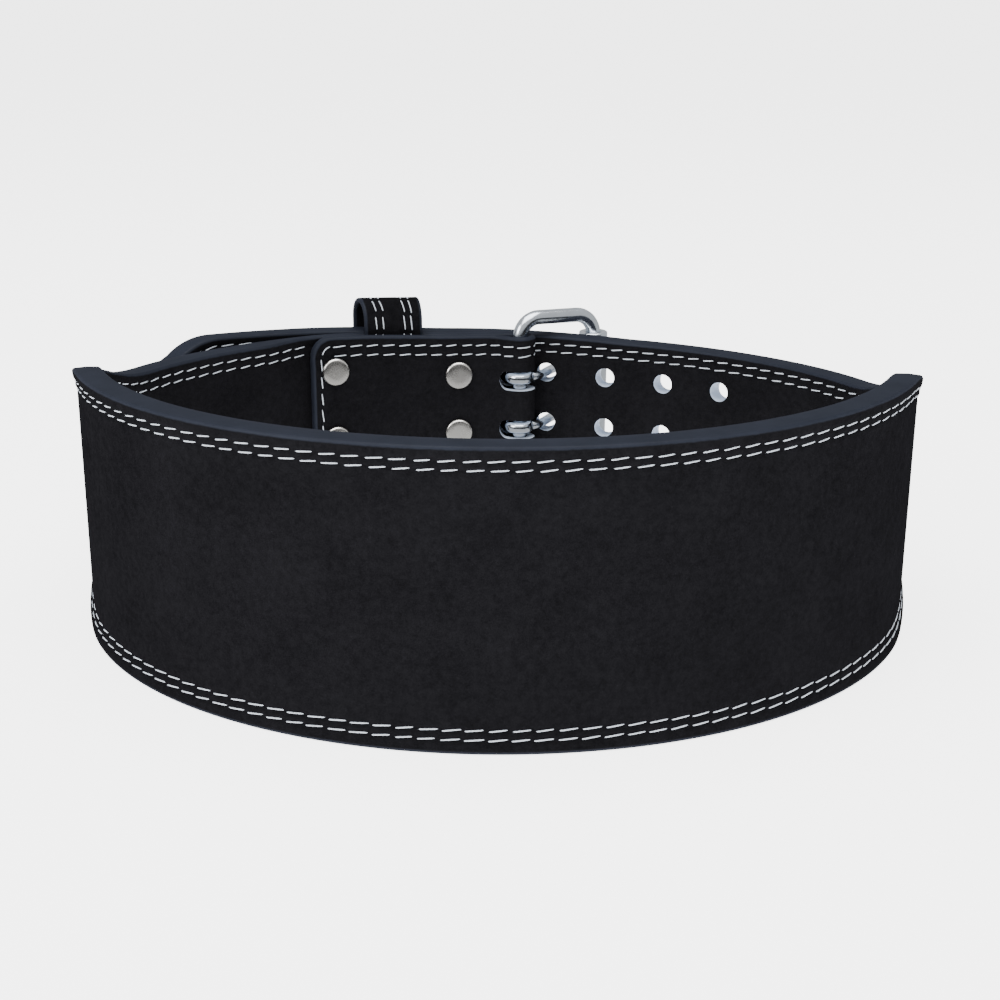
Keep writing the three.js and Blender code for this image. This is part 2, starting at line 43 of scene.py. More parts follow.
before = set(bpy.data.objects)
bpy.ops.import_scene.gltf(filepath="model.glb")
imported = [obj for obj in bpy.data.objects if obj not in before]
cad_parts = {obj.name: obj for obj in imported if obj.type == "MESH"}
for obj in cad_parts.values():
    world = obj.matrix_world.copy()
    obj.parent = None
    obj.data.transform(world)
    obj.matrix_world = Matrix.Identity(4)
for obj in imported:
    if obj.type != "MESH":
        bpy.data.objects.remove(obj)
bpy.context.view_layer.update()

MM = 0.001

# Leather strap, in millimetres as in the solids
BACK_WIDTH = 100.0
BUCKLE_END_WIDTH = 60.8
TONGUE_WIDTH = 56.0
LEATHER = 10.0
LAYER_GAP = 0.3

# Oval of the worn belt
HALF_SPAN = 155.7
BACK_DEPTH = 139.6
FRONT_DEPTH = 121.6
FRONT_POWER = 1.79

# Distances along the oval from its front middle
BUCKLE_END_TAPER = 186.0
TONGUE_TAPER = 190.0
TAPER_LENGTH = 70.0
TAPER_ROUND = 0.15
LET_IN_START = 20.0
LET_IN_LENGTH = 68.0
FLAP_LENGTH = 88.5
FLAP_CORNER = 9.0
FLAP_LEATHER = 4.3
SKIVE_LENGTH = 24.0

# Heights of the centre lines
BUCKLE_END_RISE = 1.1
BUCKLE_RISE = 0.2
TONGUE_RISE = 0.2
TONGUE_CLIMB_START = 60.0
TONGUE_CLIMB = 0.03

# Tongue
TONGUE_LENGTH = 164.0
TIP_RADIUS = 9.0
TIP_SLOPE = 0.75
TIP_SHOULDER = 5.0
STAND_OFF_START = 80.0
STAND_OFF_SLOPE = 0.16
STAND_OFF_EASE = 12.0

# Prong holes
HOLE_DIAMETER = 8.4
HOLE_PITCH = 28.0
HOLE_COLUMNS = range(-3, 6)
ROW_SPACING = 22.8

# Buckle
HEEL_BAR = 11.3
FRONT_BAR = 41.6
WIRE = 6.4
FRAME_HALF_HEIGHT = 37.9
FRAME_CORNER = 9.2
FRONT_BAR_DROP = 1.3
FOLD_LEATHER = 3.4
FOLD_EASE = 16.0
ROLLER_DIAMETER = 12.7
ROLLER_LENGTH = 60.0
RUNNING_GAP = 0.3
FOLD_RADIUS = WIRE / 2 + RUNNING_GAP

# Prongs and slots
PRONG_COLUMN = 23.5
PRONG_EYE_DIAMETER = 13.0
PRONG_WIDTH = 5.2
PRONG_SHANK = 4.0
PRONG_RIM = 2.3
SLOT_WIDTH = 8.4
SLOT_END = -1.2
SLOT_SPACING = 22.0

# Rivets
RIVET_COLUMNS = (("left", FLAP_LENGTH - 11.7, 15.3), ("right", 20.1, 13.0))
RIVET_CAP = 12.0
RIVET_CAP_HEIGHT = 1.9
RIVET_SHANK = 4.0
RIVET_BACK_CAP = 10.0
RIVET_BACK_HEIGHT = 1.0
RIVET_RIM = 0.3

# Keeper loop
KEEPER_ALONG = 49.9
KEEPER_WIDTH = 26.0
KEEPER_LEATHER = 2.2
KEEPER_HALF_HEIGHT = 45.1
KEEPER_EASE = 8.0
KEEPER_ROOM = KEEPER_LEATHER + 2 * LAYER_GAP

# Seams: insets of the outer row on each part, and how far a groove reaches to either side of its row
TONGUE_ROW = 3.7
BUCKLE_END_ROW = 4.2
BACK_ROW = 4.8
TONGUE_ROW_REACH = 200.0
FLAP_ROW_GAIN = 0.6
FLAP_ROW_FADE = 15.0
GROOVE_REACH = 0.75
KEEPER_ROWS = (5.1, 8.2)
KEEPER_GROOVE = 0.25
KEEPER_GROOVE_REACH = 0.7

# Stitches: extra length of the lower ones and spread of their places, lengths and slants
LOW_STITCH_GAIN = 0.14
PLACE_SPREAD = 0.12
LENGTH_SPREAD = 0.035
SLANT_SPREAD = 0.02

# Flared edges: distance in which the suede sinks, share on the back face, and lengths in which flares fade
FLARE_REACH = 10.5
BACK_FLARE = 0.3
TONGUE_FLARE = 0.5
FLARE_FADE = 30.0
THIN_EDGE_SHARE = 0.35

# Insets of the strap's rings past its rounded edge, closer together in the grooves
FACE_INSETS = (1.7, 2.4, 3.1, 3.5, 3.9, 4.3, 4.7, 5.1, 5.6, 6.2, 6.8, 7.2, 7.6, 8.0, 8.4, 8.9, 9.8, 11.4, 14,
               17.5, 21)
FULL_SECTION = 24.0
EDGE_CROWN = 0.25

# The solids are shifted so that the middle of their box is the origin.
STRAP_LOW, STRAP_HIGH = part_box("belt_strap")
SHIFT = np.array([STRAP_HIGH[0] / MM - HALF_SPAN, STRAP_LOW[1] / MM + BACK_DEPTH, 0.0])

# Camera: place in millimetres, pitch below level in degrees, roll in radians
CAMERA_PLACE = (0.0, -594.3, 231.6)
CAMERA_PITCH = 17.95
CAMERA_ROLL = 0.00456
CAMERA_LENS = 58.36
CAMERA_SENSOR = 36.0
CAMERA_SHIFT = (0.0028, -0.0017)
FLOOR_RADIUS = 60000.0
FLOOR_CORNERS = 64

# UV height that marks the walls of the punched holes
CUT_MARK = 90.0


def ease(t):
    """Smooth step: 3 t squared less 2 t cubed, with t held between 0 and 1."""
    u = np.clip(t, 0.0, 1.0)
    return u * u * (3 - 2 * u)


def soft_hinge(x, length):
    """Larger of 0 and x with a rounded corner: half of x plus the root of x squared and length squared."""
    return (np.sqrt(x * x + length * length) + x) / 2


def soft_least(a, b, reach):
    """Lesser of two values, less a parabola of the given reach where they are close to each other."""
    near = np.maximum(reach - np.abs(a - b), 0) / reach
    return np.minimum(a, b) - near * near * reach / 4


def furrow(distance, reach):
    """1 on a row, falling off to both sides with the square of the distance over the reach as an exponent."""
    return np.exp(-(distance / reach) ** 2)


def unit(vectors):
    """Each vector divided by its length."""
    return vectors / np.linalg.norm(vectors, axis=-1, keepdims=True)


class Oval:
    """Outer face of the belt seen from above, as a closed table of points and distances."""

    def __init__(self):
        """Ellipse behind, superellipse in front: x and y are powers of the cosine and sine of one angle."""
        angle = math.pi / 2 + np.linspace(0, 2 * math.pi, 3601)
        cosine, sine = np.cos(angle), np.sin(angle)
        power = np.where(sine > 0, 2 / FRONT_POWER, 1.0)
        depth = np.where(sine > 0, FRONT_DEPTH, BACK_DEPTH)
        self.x = HALF_SPAN * np.sign(cosine) * np.abs(cosine) ** power
        self.y = depth * np.sign(sine) * np.abs(sine) ** power
        self.distance = np.concatenate([[0], np.cumsum(np.hypot(np.diff(self.x), np.diff(self.y)))])
        self.girth = self.distance[-1]

    def point(self, along):
        """Point at a distance along the oval, read from the table by straight interpolation."""
        d = np.mod(along, self.girth)
        return np.stack([np.interp(d, self.distance, self.x), np.interp(d, self.distance, self.y)], axis=-1)

    def tangent(self, along):
        """Direction of growing distance: the unit chord over 3 mm."""
        reach = 1.5
        return unit(self.point(along + reach) - self.point(along - reach))

    def normal(self, along):
        """Outward direction: the tangent turned by a right angle."""
        t = self.tangent(along)
        return np.stack([t[..., 1], -t[..., 0]], axis=-1)

    def offset(self, along, distance):
        """Point of the oval moved outwards by a distance."""
        return self.point(along) + self.normal(along) * np.asarray(distance)[..., None]


OVAL = Oval()


def buckle_end_outer(along):
    """Offset of the buckle end's outer face, let in by one thickness under the tongue."""
    return -(LEATHER + LAYER_GAP) * (1 - ease((along - LET_IN_START) / LET_IN_LENGTH))


def tongue_outer(along):
    """Offset of the tongue's outer face: one thickness over the buckle end, then standing off on a slope."""
    stand_off = np.where(along > 0, STAND_OFF_SLOPE * soft_hinge(along - STAND_OFF_START, STAND_OFF_EASE), 0)
    return buckle_end_outer(along) + LEATHER + LAYER_GAP + stand_off


def under_keeper(along):
    """1 under the keeper loop and 0 elsewhere, with eased sides."""
    beyond = np.abs(along - KEEPER_ALONG) - KEEPER_WIDTH / 2 - 1
    return 1 - ease(beyond / KEEPER_EASE)


def near_heel_bar(along):
    """1 at the heel bar and 0 past the throat of the fold."""
    return 1 - ease((along + HEEL_BAR) / FOLD_EASE)


def layer_thickness(along):
    """Thickness of one layer of the folded buckle end."""
    pressed = under_keeper(along) * (KEEPER_ROOM - LAYER_GAP) / 2
    return FLAP_LEATHER + (FOLD_LEATHER - FLAP_LEATHER) * near_heel_bar(along) - pressed


def layer_room(along):
    """Room between the two layers: a plain gap, the keeper's leather or the heel bar."""
    keeper = (KEEPER_ROOM - LAYER_GAP) * under_keeper(along)
    return LAYER_GAP + keeper + (2 * FOLD_RADIUS - LAYER_GAP) * near_heel_bar(along)


def strap_thickness(along):
    """One layer's thickness beside the flap, growing to the full thickness past its end."""
    skived = FLAP_LEATHER + (LEATHER - FLAP_LEATHER) * ease((along - FLAP_LENGTH) / SKIVE_LENGTH)
    return np.where(along > FLAP_LENGTH, skived, layer_thickness(along))


def bend(x):
    """Larger of 0 and x, with a parabola through the corner."""
    rounded = (x + TAPER_ROUND) ** 2 / (4 * TAPER_ROUND)
    return np.where(np.abs(x) < TAPER_ROUND, rounded, np.maximum(x, 0))


def wideness(distance, taper_start):
    """0 at the front and 1 at the back: a straight ramp with rounded corners, one bend less the next."""
    t = (distance - taper_start) / TAPER_LENGTH
    return bend(t) - bend(t - 1)


def buckle_end_centre(along):
    """Height of the buckle end's centre line."""
    rise = BUCKLE_RISE + (BUCKLE_END_RISE - BUCKLE_RISE) * ease(along / FLAP_LENGTH)
    return BACK_WIDTH / 2 + rise * (1 - wideness(along, BUCKLE_END_TAPER))


def tongue_centre(along):
    """Height of the tongue's centre line, which climbs towards its tip."""
    rise = TONGUE_RISE * (1 - wideness(-along, TONGUE_TAPER))
    return BACK_WIDTH / 2 + rise + TONGUE_CLIMB * np.maximum(0, along + TONGUE_CLIMB_START)


def half_width(distance, end_width, taper_start):
    """Half of the strap's width between a narrow end and the wide back."""
    return end_width / 2 + (BACK_WIDTH - end_width) / 2 * wideness(distance, taper_start)


HEEL_OFFSET = float(buckle_end_outer(-HEEL_BAR)) - FOLD_LEATHER - FOLD_RADIUS


class Strap:
    """The strap as a flat pattern on its route: s runs from the flap's end to the tip, y upwards."""

    def __init__(self, leather):
        self.round = leather.edge_round / MM
        self.flare = leather.edge_flare / MM
        self.groove = leather.groove / MM
        self.row_gap = leather.row_gap / MM
        self.wide_row_gap = leather.wide_row_gap / MM
        self.fold_start = FLAP_LENGTH + HEEL_BAR
        self.run_start = self.fold_start + math.pi * (FOLD_RADIUS + FOLD_LEATHER / 2)
        self.front_start = self.run_start + HEEL_BAR
        self.tongue_start = self.front_start + OVAL.girth
        self.length = self.tongue_start + TONGUE_LENGTH

    def along(self, s):
        """Distance along the oval, with the tongue counted on past one whole round."""
        folded = np.where(s < self.fold_start, FLAP_LENGTH - s, -HEEL_BAR)
        return np.where(s < self.run_start, folded, s - self.front_start)

    def full_half(self, s):
        """Half width without the rounded or pointed ends."""
        d = self.along(s)
        back = np.where(d > OVAL.girth / 2, half_width(OVAL.girth - d, TONGUE_WIDTH, TONGUE_TAPER),
                        half_width(d, BUCKLE_END_WIDTH, BUCKLE_END_TAPER))
        ended = np.where(s < self.run_start, BUCKLE_END_WIDTH / 2, back)
        return np.where(s > self.tongue_start, TONGUE_WIDTH / 2, ended)

    def inset(self, s, y):
        """Distance inwards from the cut outline: least of those to the long edges, round corners and tip."""
        across = self.full_half(s) - np.abs(y)
        corner = np.hypot(np.maximum(FLAP_CORNER - s, 0), np.maximum(FLAP_CORNER - across, 0))
        inner = np.where(corner > 0, FLAP_CORNER - corner, np.minimum(s, across))
        to_tip = self.length - s
        angle = math.atan(TIP_SLOPE)
        start = TIP_RADIUS * (math.cos(angle) - TIP_SLOPE * (1 - math.sin(angle)))
        line = (start + TIP_SLOPE * to_tip - np.abs(y)) * math.cos(angle)
        circle = TIP_RADIUS - np.hypot(TIP_RADIUS - to_tip, y)
        tip = np.where(TIP_RADIUS - to_tip > TIP_SLOPE * np.abs(y), circle, line)
        return np.where(s < self.run_start, inner, soft_least(across, tip, TIP_SHOULDER))

    def height_at(self, s, inset):
        """Height y at which the inset has a given value, found by halving the interval."""
        low, high = np.zeros_like(s), self.full_half(s)
        for _ in range(30):
            middle = (low + high) / 2
            inside = self.inset(s, middle) > inset
            low, high = np.where(inside, middle, low), np.where(inside, high, middle)
        return low

    def at_back(self, s):
        """1 along the wide back and 0 along the narrow front."""
        d = self.along(s)
        return wideness(np.minimum(d, OVAL.girth - d), TONGUE_TAPER)

    def first_row(self, s):
        """Inset of the outer stitch row."""
        narrow = np.where(s > self.tongue_start - TONGUE_ROW_REACH, TONGUE_ROW, BUCKLE_END_ROW)
        return narrow + (BACK_ROW - narrow) * self.at_back(s)

    def second_row(self, s):
        """Inset of the inner row: a gap past the outer one, wider on the flap and closer at the back."""
        on_flap = FLAP_ROW_GAIN * (1 - ease((s - self.fold_start) / FLAP_ROW_FADE))
        closer = (self.wide_row_gap - self.row_gap) * self.at_back(s)
        return self.first_row(s) + self.row_gap + on_flap + closer

    def route(self, s):
        """Middle of the leather, direction of the finished face, centre height and thickness."""
        d = self.along(s)
        on_tongue = s > self.tongue_start
        past = d - OVAL.girth
        in_flap = s < self.fold_start
        in_fold = (s >= self.fold_start) & (s < self.run_start)
        thickness = np.where(in_flap, layer_thickness(d), strap_thickness(d))
        thickness = np.where(on_tongue, LEATHER, thickness)
        outer = buckle_end_outer(d)
        middle_offset = np.where(in_flap, outer - layer_thickness(d) - layer_room(d), outer) - thickness / 2
        middle_offset = np.where(on_tongue, tongue_outer(past) - LEATHER / 2, middle_offset)
        normal = OVAL.normal(d)
        middle = OVAL.point(d) + normal * middle_offset[..., None]
        face = np.where(in_flap[..., None], -normal, normal)
        turn = np.clip((s - self.fold_start) / (self.run_start - self.fold_start), 0, 1)[..., None] * math.pi
        heel_normal, heel_tangent = OVAL.normal(-HEEL_BAR), OVAL.tangent(-HEEL_BAR)
        fold_face = -np.cos(turn) * heel_normal - np.sin(turn) * heel_tangent
        heel = OVAL.offset(-HEEL_BAR, HEEL_OFFSET)
        folded = heel + (FOLD_RADIUS + FOLD_LEATHER / 2) * fold_face
        middle = np.where(in_fold[..., None], folded, middle)
        face = np.where(in_fold[..., None], fold_face, face)
        thickness = np.where(in_fold, FOLD_LEATHER, thickness)
        run_centre = np.where(d > OVAL.girth / 2, tongue_centre(past), buckle_end_centre(d))
        return middle, face, run_centre, thickness

    def free(self, s, side):
        """1 where a face lies open, so that its edge may flare, and 0 where layers lie on each other."""
        d = self.along(s)
        if side > 0:
            covered = ease((d - TONGUE_LENGTH) / FLARE_FADE)
            return np.where(s < self.run_start, 0.0, np.where(s > self.tongue_start, TONGUE_FLARE, covered))
        opened = ease((d - FLAP_LENGTH - 6) / FLARE_FADE) * (1 - ease((d - OVAL.girth + 70) / 40))
        return np.where(s < self.run_start, 0.0, opened)

    def depth(self, s, y, side):
        """Distance of a face from the middle: half the thickness less round edge, sunk middle and grooves."""
        thickness = self.route(s)[3]
        inset = np.maximum(self.inset(s, y), 0)
        radius = np.minimum(self.round, thickness * THIN_EDGE_SHARE)
        left = np.maximum(radius - inset, 0)
        rounded = thickness / 2 - radius + np.sqrt(np.maximum(radius * radius - left * left, 0))
        sunk = self.flare * ease(inset / FLARE_REACH) * self.free(s, side) * (1.0 if side > 0 else BACK_FLARE)
        across = self.full_half(s) - np.abs(y)
        rows = furrow(inset - self.first_row(s), GROOVE_REACH)
        rows = np.minimum(rows + furrow(across - self.second_row(s), GROOVE_REACH), 1)
        return rounded - sunk - self.groove * rows

    def surface(self, s, y, side):
        """Point of a face: the middle moved along the face direction by the depth, at its own height."""
        middle, face, centre, _ = self.route(s)
        plan = middle + face * (side * self.depth(s, y, side))[..., None]
        return np.concatenate([plan, (centre + y)[..., None]], axis=-1)

    def skin(self, side):
        """Surface of one face as a function of s and y that also gives its outward unit normal."""
        def points_and_normals(s, y):
            reach = 0.4
            point = self.surface(s, y, side)
            ahead = self.surface(s + reach, y, side) - self.surface(s - reach, y, side)
            up = self.surface(s, y + reach, side) - self.surface(s, y - reach, side)
            normal = unit(np.cross(ahead, up))
            outward = np.sum(normal[..., :2] * self.route(s)[1], axis=-1) * side
            return point, normal * np.sign(outward)[..., None]
        return points_and_normals


def grid_quads(rows, columns, close_rows=False):
    """Corner numbers of the quads of a grid stored row by row, whose rows are closed rings."""
    i = np.arange(rows if close_rows else rows - 1)
    i, j = (part.ravel() for part in np.meshgrid(i, np.arange(columns), indexing="ij"))
    up, right = (i + 1) % rows, (j + 1) % columns
    return np.stack([i * columns + j, i * columns + right, up * columns + right, up * columns + j], axis=-1)


def signed_volume(points, faces):
    """Sixth of the sum of the triple products of each face's fan of triangles."""
    total = 0.0
    for k in range(1, faces.shape[1] - 1):
        a, b, c = points[faces[:, 0]], points[faces[:, k]], points[faces[:, k + 1]]
        total += float(np.sum(a * np.cross(b, c))) / 6
    return total


def facing_out(points, face_sets):
    """The faces, turned round where the volume that they enclose is negative."""
    volume = sum(signed_volume(points - points.mean(axis=0), faces) for faces in face_sets)
    return [faces[:, ::-1] if volume < 0 else faces for faces in face_sets]


def add_piece(name, points, face_sets, uv=None, outwards=True):
    """Mesh object from points in millimetres of the plan and arrays of faces with equal corner counts."""
    if outwards:
        face_sets = facing_out(points, face_sets)
    corners = np.concatenate([f.ravel() for f in face_sets]).astype(np.int32)
    sizes = np.concatenate([np.full(len(f), f.shape[1]) for f in face_sets])
    starts = np.concatenate([[0], np.cumsum(sizes)[:-1]]).astype(np.int32)
    mesh = bpy.data.meshes.new(name)
    mesh.vertices.add(len(points))
    mesh.vertices.foreach_set("co", ((points + SHIFT) * MM).astype(np.float32).ravel())
    mesh.loops.add(len(corners))
    mesh.loops.foreach_set("vertex_index", corners)
    mesh.polygons.add(len(starts))
    mesh.polygons.foreach_set("loop_start", starts)
    mesh.update(calc_edges=True)
    if uv is not None:
        layer = mesh.uv_layers.new(name="flat")
        layer.data.foreach_set("uv", (uv[corners] * MM).astype(np.float32).ravel())
    mesh.polygons.foreach_set("use_smooth", np.ones(len(starts), dtype=bool))
    mesh.validate()
    piece = bpy.data.objects.new(name, mesh)
    bpy.context.scene.collection.objects.link(piece)
    return piece


def weld(piece):
    """Merges points that lie on each other, such as those of a pole."""
    work = bmesh.new()
    work.from_mesh(piece.data)
    bmesh.ops.remove_doubles(work, verts=work.verts, dist=1e-6)
    bmesh.ops.recalc_face_normals(work, faces=work.faces)
    work.to_mesh(piece.data)
    work.free()


def crease(piece, degrees):
    """Marks edges sharper than an angle, so that smooth shading stops there."""
    piece.data.set_sharp_from_angle(angle=math.radians(degrees))


def finish_piece(piece, slot, materials, *nodes):
    """Gives a piece its materials, hangs it under the root body and hides the solids that it takes the place
    of.
    """
    for material in materials:
        piece.data.materials.append(material)
    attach(piece, "root")
    if nodes:
        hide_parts(*nodes)


def lathe(profile, centre, axis, sides):
    """Turned shape: each profile point's radius goes round the axis at its length along the axis."""
    axis = unit(np.asarray(axis, dtype=float))
    side = unit(np.cross(axis, [0.3, 0.2, 1.0] if abs(axis[2]) < 0.9 else [1.0, 0.2, 0.1]))
    other = np.cross(axis, side)
    turn = np.linspace(0, 2 * math.pi, sides, endpoint=False)[None, :, None]
    radius, length = (profile[:, k][:, None, None] for k in (0, 1))
    ring = np.cos(turn) * side + np.sin(turn) * other
    points = np.asarray(centre) + radius * ring + length * axis
    return points.reshape(-1, 3)


def tube(path, up, radius, sides, closed=False):
    """Round wire: rings of the given radius across a path, each in the plane of its side and its lift."""
    if closed:
        ahead = unit(np.roll(path, -1, axis=0) - np.roll(path, 1, axis=0))
    else:
        ahead = unit(np.gradient(path, axis=0))
    side = unit(np.cross(ahead, up))
    lift = unit(np.cross(side, ahead))
    turn = np.linspace(0, 2 * math.pi, sides, endpoint=False)[None, :, None]
    radius = np.broadcast_to(np.asarray(radius, dtype=float), (len(path),))[:, None, None]
    points = path[:, None] + radius * (np.cos(turn) * side[:, None] + np.sin(turn) * lift[:, None])
    return points.reshape(-1, 3)


def end_fans(rows, columns):
    """Triangles that close the first and last ring of a grid, fanned from their first points."""
    k = np.arange(1, columns - 1)
    first = np.stack([np.zeros_like(k), k + 1, k], axis=-1)
    last = (rows - 1) * columns + np.stack([np.zeros_like(k), k, k + 1], axis=-1)
    return np.concatenate([first, last])


def face_frame(along, outer):
    """Point and outward normal of a layer's outer face, from the chord over 4 mm."""
    tangent = unit(OVAL.offset(along + 2, outer(along + 2)) - OVAL.offset(along - 2, outer(along - 2)))
    return OVAL.offset(along, outer(along)), np.array([tangent[1], -tangent[0], 0.0])


def slot_heights():
    """Heights of the two prong slots."""
    centre = float(buckle_end_centre(-HEEL_BAR))
    return [centre + SLOT_SPACING / 2, centre - SLOT_SPACING / 2]


def hole_heights(along):
    """Heights of the upper and lower prong hole of one column."""
    centre = float(tongue_centre(along))
    return [centre + ROW_SPACING / 2, centre - ROW_SPACING / 2]


def rivet_places():
    """Name, distance along the oval and height of each rivet."""
    return [(f"rivet_{column}_{row}", along, float(buckle_end_centre(along)) + side * spacing)
            for column, along, spacing in RIVET_COLUMNS for row, side in (("upper", 1), ("lower", -1))]


def hole_cutters():
    """Points and faces of the punches: straight cylinders through the tongue along its face's normal."""
    sides = 40
    points, quads, fans = [], [], []
    count = 0
    profile = np.array([[HOLE_DIAMETER / 2, 1.5], [HOLE_DIAMETER / 2, -LEATHER - 1.5]])
    for column in HOLE_COLUMNS:
        along = -PRONG_COLUMN + column * HOLE_PITCH
        at, normal = face_frame(along, tongue_outer)
        for height in hole_heights(along):
            points.append(lathe(profile, [at[0], at[1], height], normal, sides))
            quads.append(grid_quads(2, sides) + count)
            fans.append(end_fans(2, sides) + count)
            count += len(points[-1])
    return np.concatenate(points), np.concatenate(quads), np.concatenate(fans)


def slot_cutter(height):
    """Points and faces of one slot punch: half a circle, then straight past the fold, through both layers."""
    radius = SLOT_WIDTH / 2
    centre = SLOT_END - radius
    turn = np.linspace(-math.pi / 2, math.pi / 2, 17)
    straight = np.linspace(centre, -(HEEL_BAR + FOLD_RADIUS + 2 * FOLD_LEATHER), 10)[1:]
    along = np.concatenate([centre + radius * np.cos(turn), straight, straight[::-1]])
    edge = np.full(len(straight), radius)
    up = np.concatenate([radius * np.sin(turn), edge, -edge])
    outer = float(buckle_end_outer(0.0)) + LAYER_GAP / 2
    inner = outer - 2 * (FOLD_RADIUS + FOLD_LEATHER) - LEATHER
    rings = []
    for depth in (outer, inner):
        plan = OVAL.offset(along, np.full(len(along), depth))
        rings.append(np.concatenate([plan, (height + up)[:, None]], axis=1))
    columns = len(along)
    ends = np.stack([np.arange(columns)[::-1], np.arange(columns, 2 * columns)])
    return np.concatenate(rings), grid_quads(2, columns), ends


def cut(piece, cutters):
    """Takes the cutters out of a piece, then gives the cut walls the piece's second material."""
    for cutter in cutters:
        modifier = piece.modifiers.new("punch", "BOOLEAN")
        modifier.operation = "DIFFERENCE"
        modifier.solver = "EXACT"
        modifier.object = cutter
    bpy.context.view_layer.update()
    graph = bpy.context.evaluated_depsgraph_get()
    mesh = bpy.data.meshes.new_from_object(piece.evaluated_get(graph), depsgraph=graph)
    before = len(piece.data.polygons)
    piece.modifiers.clear()
    piece.data = mesh
    for cutter in cutters:
        bpy.data.objects.remove(cutter)
    if len(mesh.polygons) <= before:
        raise RuntimeError("the punches left no mark on " + piece.name)
    uv = np.empty(2 * len(mesh.loops), dtype=np.float32)
    mesh.uv_layers["flat"].data.foreach_get("uv", uv)
    starts = np.empty(len(mesh.polygons), dtype=np.int32)
    mesh.polygons.foreach_get("loop_start", starts)
    marked = uv.reshape(-1, 2)[starts, 1] > (CUT_MARK - 5) * MM
    mesh.polygons.foreach_set("material_index", marked.astype(np.int32))


def strap_stations(strap):
    """Distances along the strap of its rings: close together at the ends and in the fold."""
    fine = np.concatenate([[0, 0.05, 0.2, 0.45, 0.75, 1.1, 1.5], np.arange(2.0, 12.0, 0.7)])
    tip = [0.02, 0.1, 0.3, 0.6, 1.0, 1.4, 1.9, 2.5]
    tip = np.concatenate([tip, np.arange(3.2, 14, 0.8), np.arange(14, 56, 1.6)])
    flap = np.arange(13, strap.fold_start - 1, 2.0)
    fold = np.linspace(strap.fold_start, strap.run_start, 25)
    front = np.arange(strap.run_start + 1, strap.front_start + 120, 2.0)
    run = np.arange(strap.front_start + 120, strap.length - 57, 2.6)
    return np.concatenate([fine, flap, fold, front, run, (strap.length - tip)[::-1]])


def strap_section(strap, s):
    """Heights y of one face's points for each station, from the top edge to the bottom edge."""
    turn = np.radians([0, 15, 30, 45, 60, 75, 90])
    insets = np.concatenate([strap.round * (1 - np.cos(turn)), FACE_INSETS])
    half = strap.height_at(s, 0.0)
    scale = np.minimum(1, half / FULL_SECTION)[:, None]
    sides = half[:, None] - insets * scale
    inner = sides[:, -1:] * np.array([0.75, 0.5, 0.25])
    middle = np.zeros((len(s), 1))
    return np.concatenate([sides, inner, middle, -inner[:, ::-1], -sides[:, ::-1]], axis=1)


def strap_mesh(strap):
    """The whole strap: both faces as grids over the flat pattern, joined by crowned walls at the outline."""
    s = strap_stations(strap)
    y = strap_section(strap, s)
    count = y.shape[1]
    along = np.broadcast_to(s[:, None], y.shape)
    finished = strap.surface(along, y, 1)
    back = strap.surface(along, y, -1)[:, ::-1]
    low = (finished[:, -1:] + back[:, :1]) / 2 - [0, 0, EDGE_CROWN]
    high = (finished[:, :1] + back[:, -1:]) / 2 + [0, 0, EDGE_CROWN]
    points = np.concatenate([finished, low, back, high], axis=1)
    inset = np.maximum(strap.inset(along, y), 0)
    edge = np.zeros((len(s), 1))
    inset = np.concatenate([inset, edge, inset[:, ::-1], edge], axis=1)
    columns = points.shape[1]
    uv = np.stack([np.broadcast_to(s[:, None], inset.shape), inset], axis=-1).reshape(-1, 2)
    k = np.arange(count - 1)
    first = np.stack([k, 2 * count - k, 2 * count - 1 - k, k + 1], axis=-1)
    corners = np.array([[0, 2 * count + 1, 2 * count], [count - 1, count + 1, count]])
    last = (len(s) - 1) * columns
    quads = np.concatenate([grid_quads(len(s), columns), first[:, ::-1], first + last])
    fans = np.concatenate([corners, corners[:, ::-1] + last])
    return points.reshape(-1, 3), quads, fans, uv


def outline_path(strap, inset_of, first, last):
    """Flat path at an inset from the outline, from s first to s last above and back below."""
    rough = np.arange(first + 12, last - 60, 2.0)
    start = first + 12 * np.linspace(0, 1, 60)[:-1] ** 2
    end = last - 60 * np.linspace(0, 1, 260)[::-1] ** 2
    s = np.concatenate([start, rough, end])
    y = strap.height_at(s, inset_of(s))
    above = np.stack([s, y], axis=-1)
    below = np.stack([s, -y], axis=-1)[::-1]
    return np.concatenate([above, below])


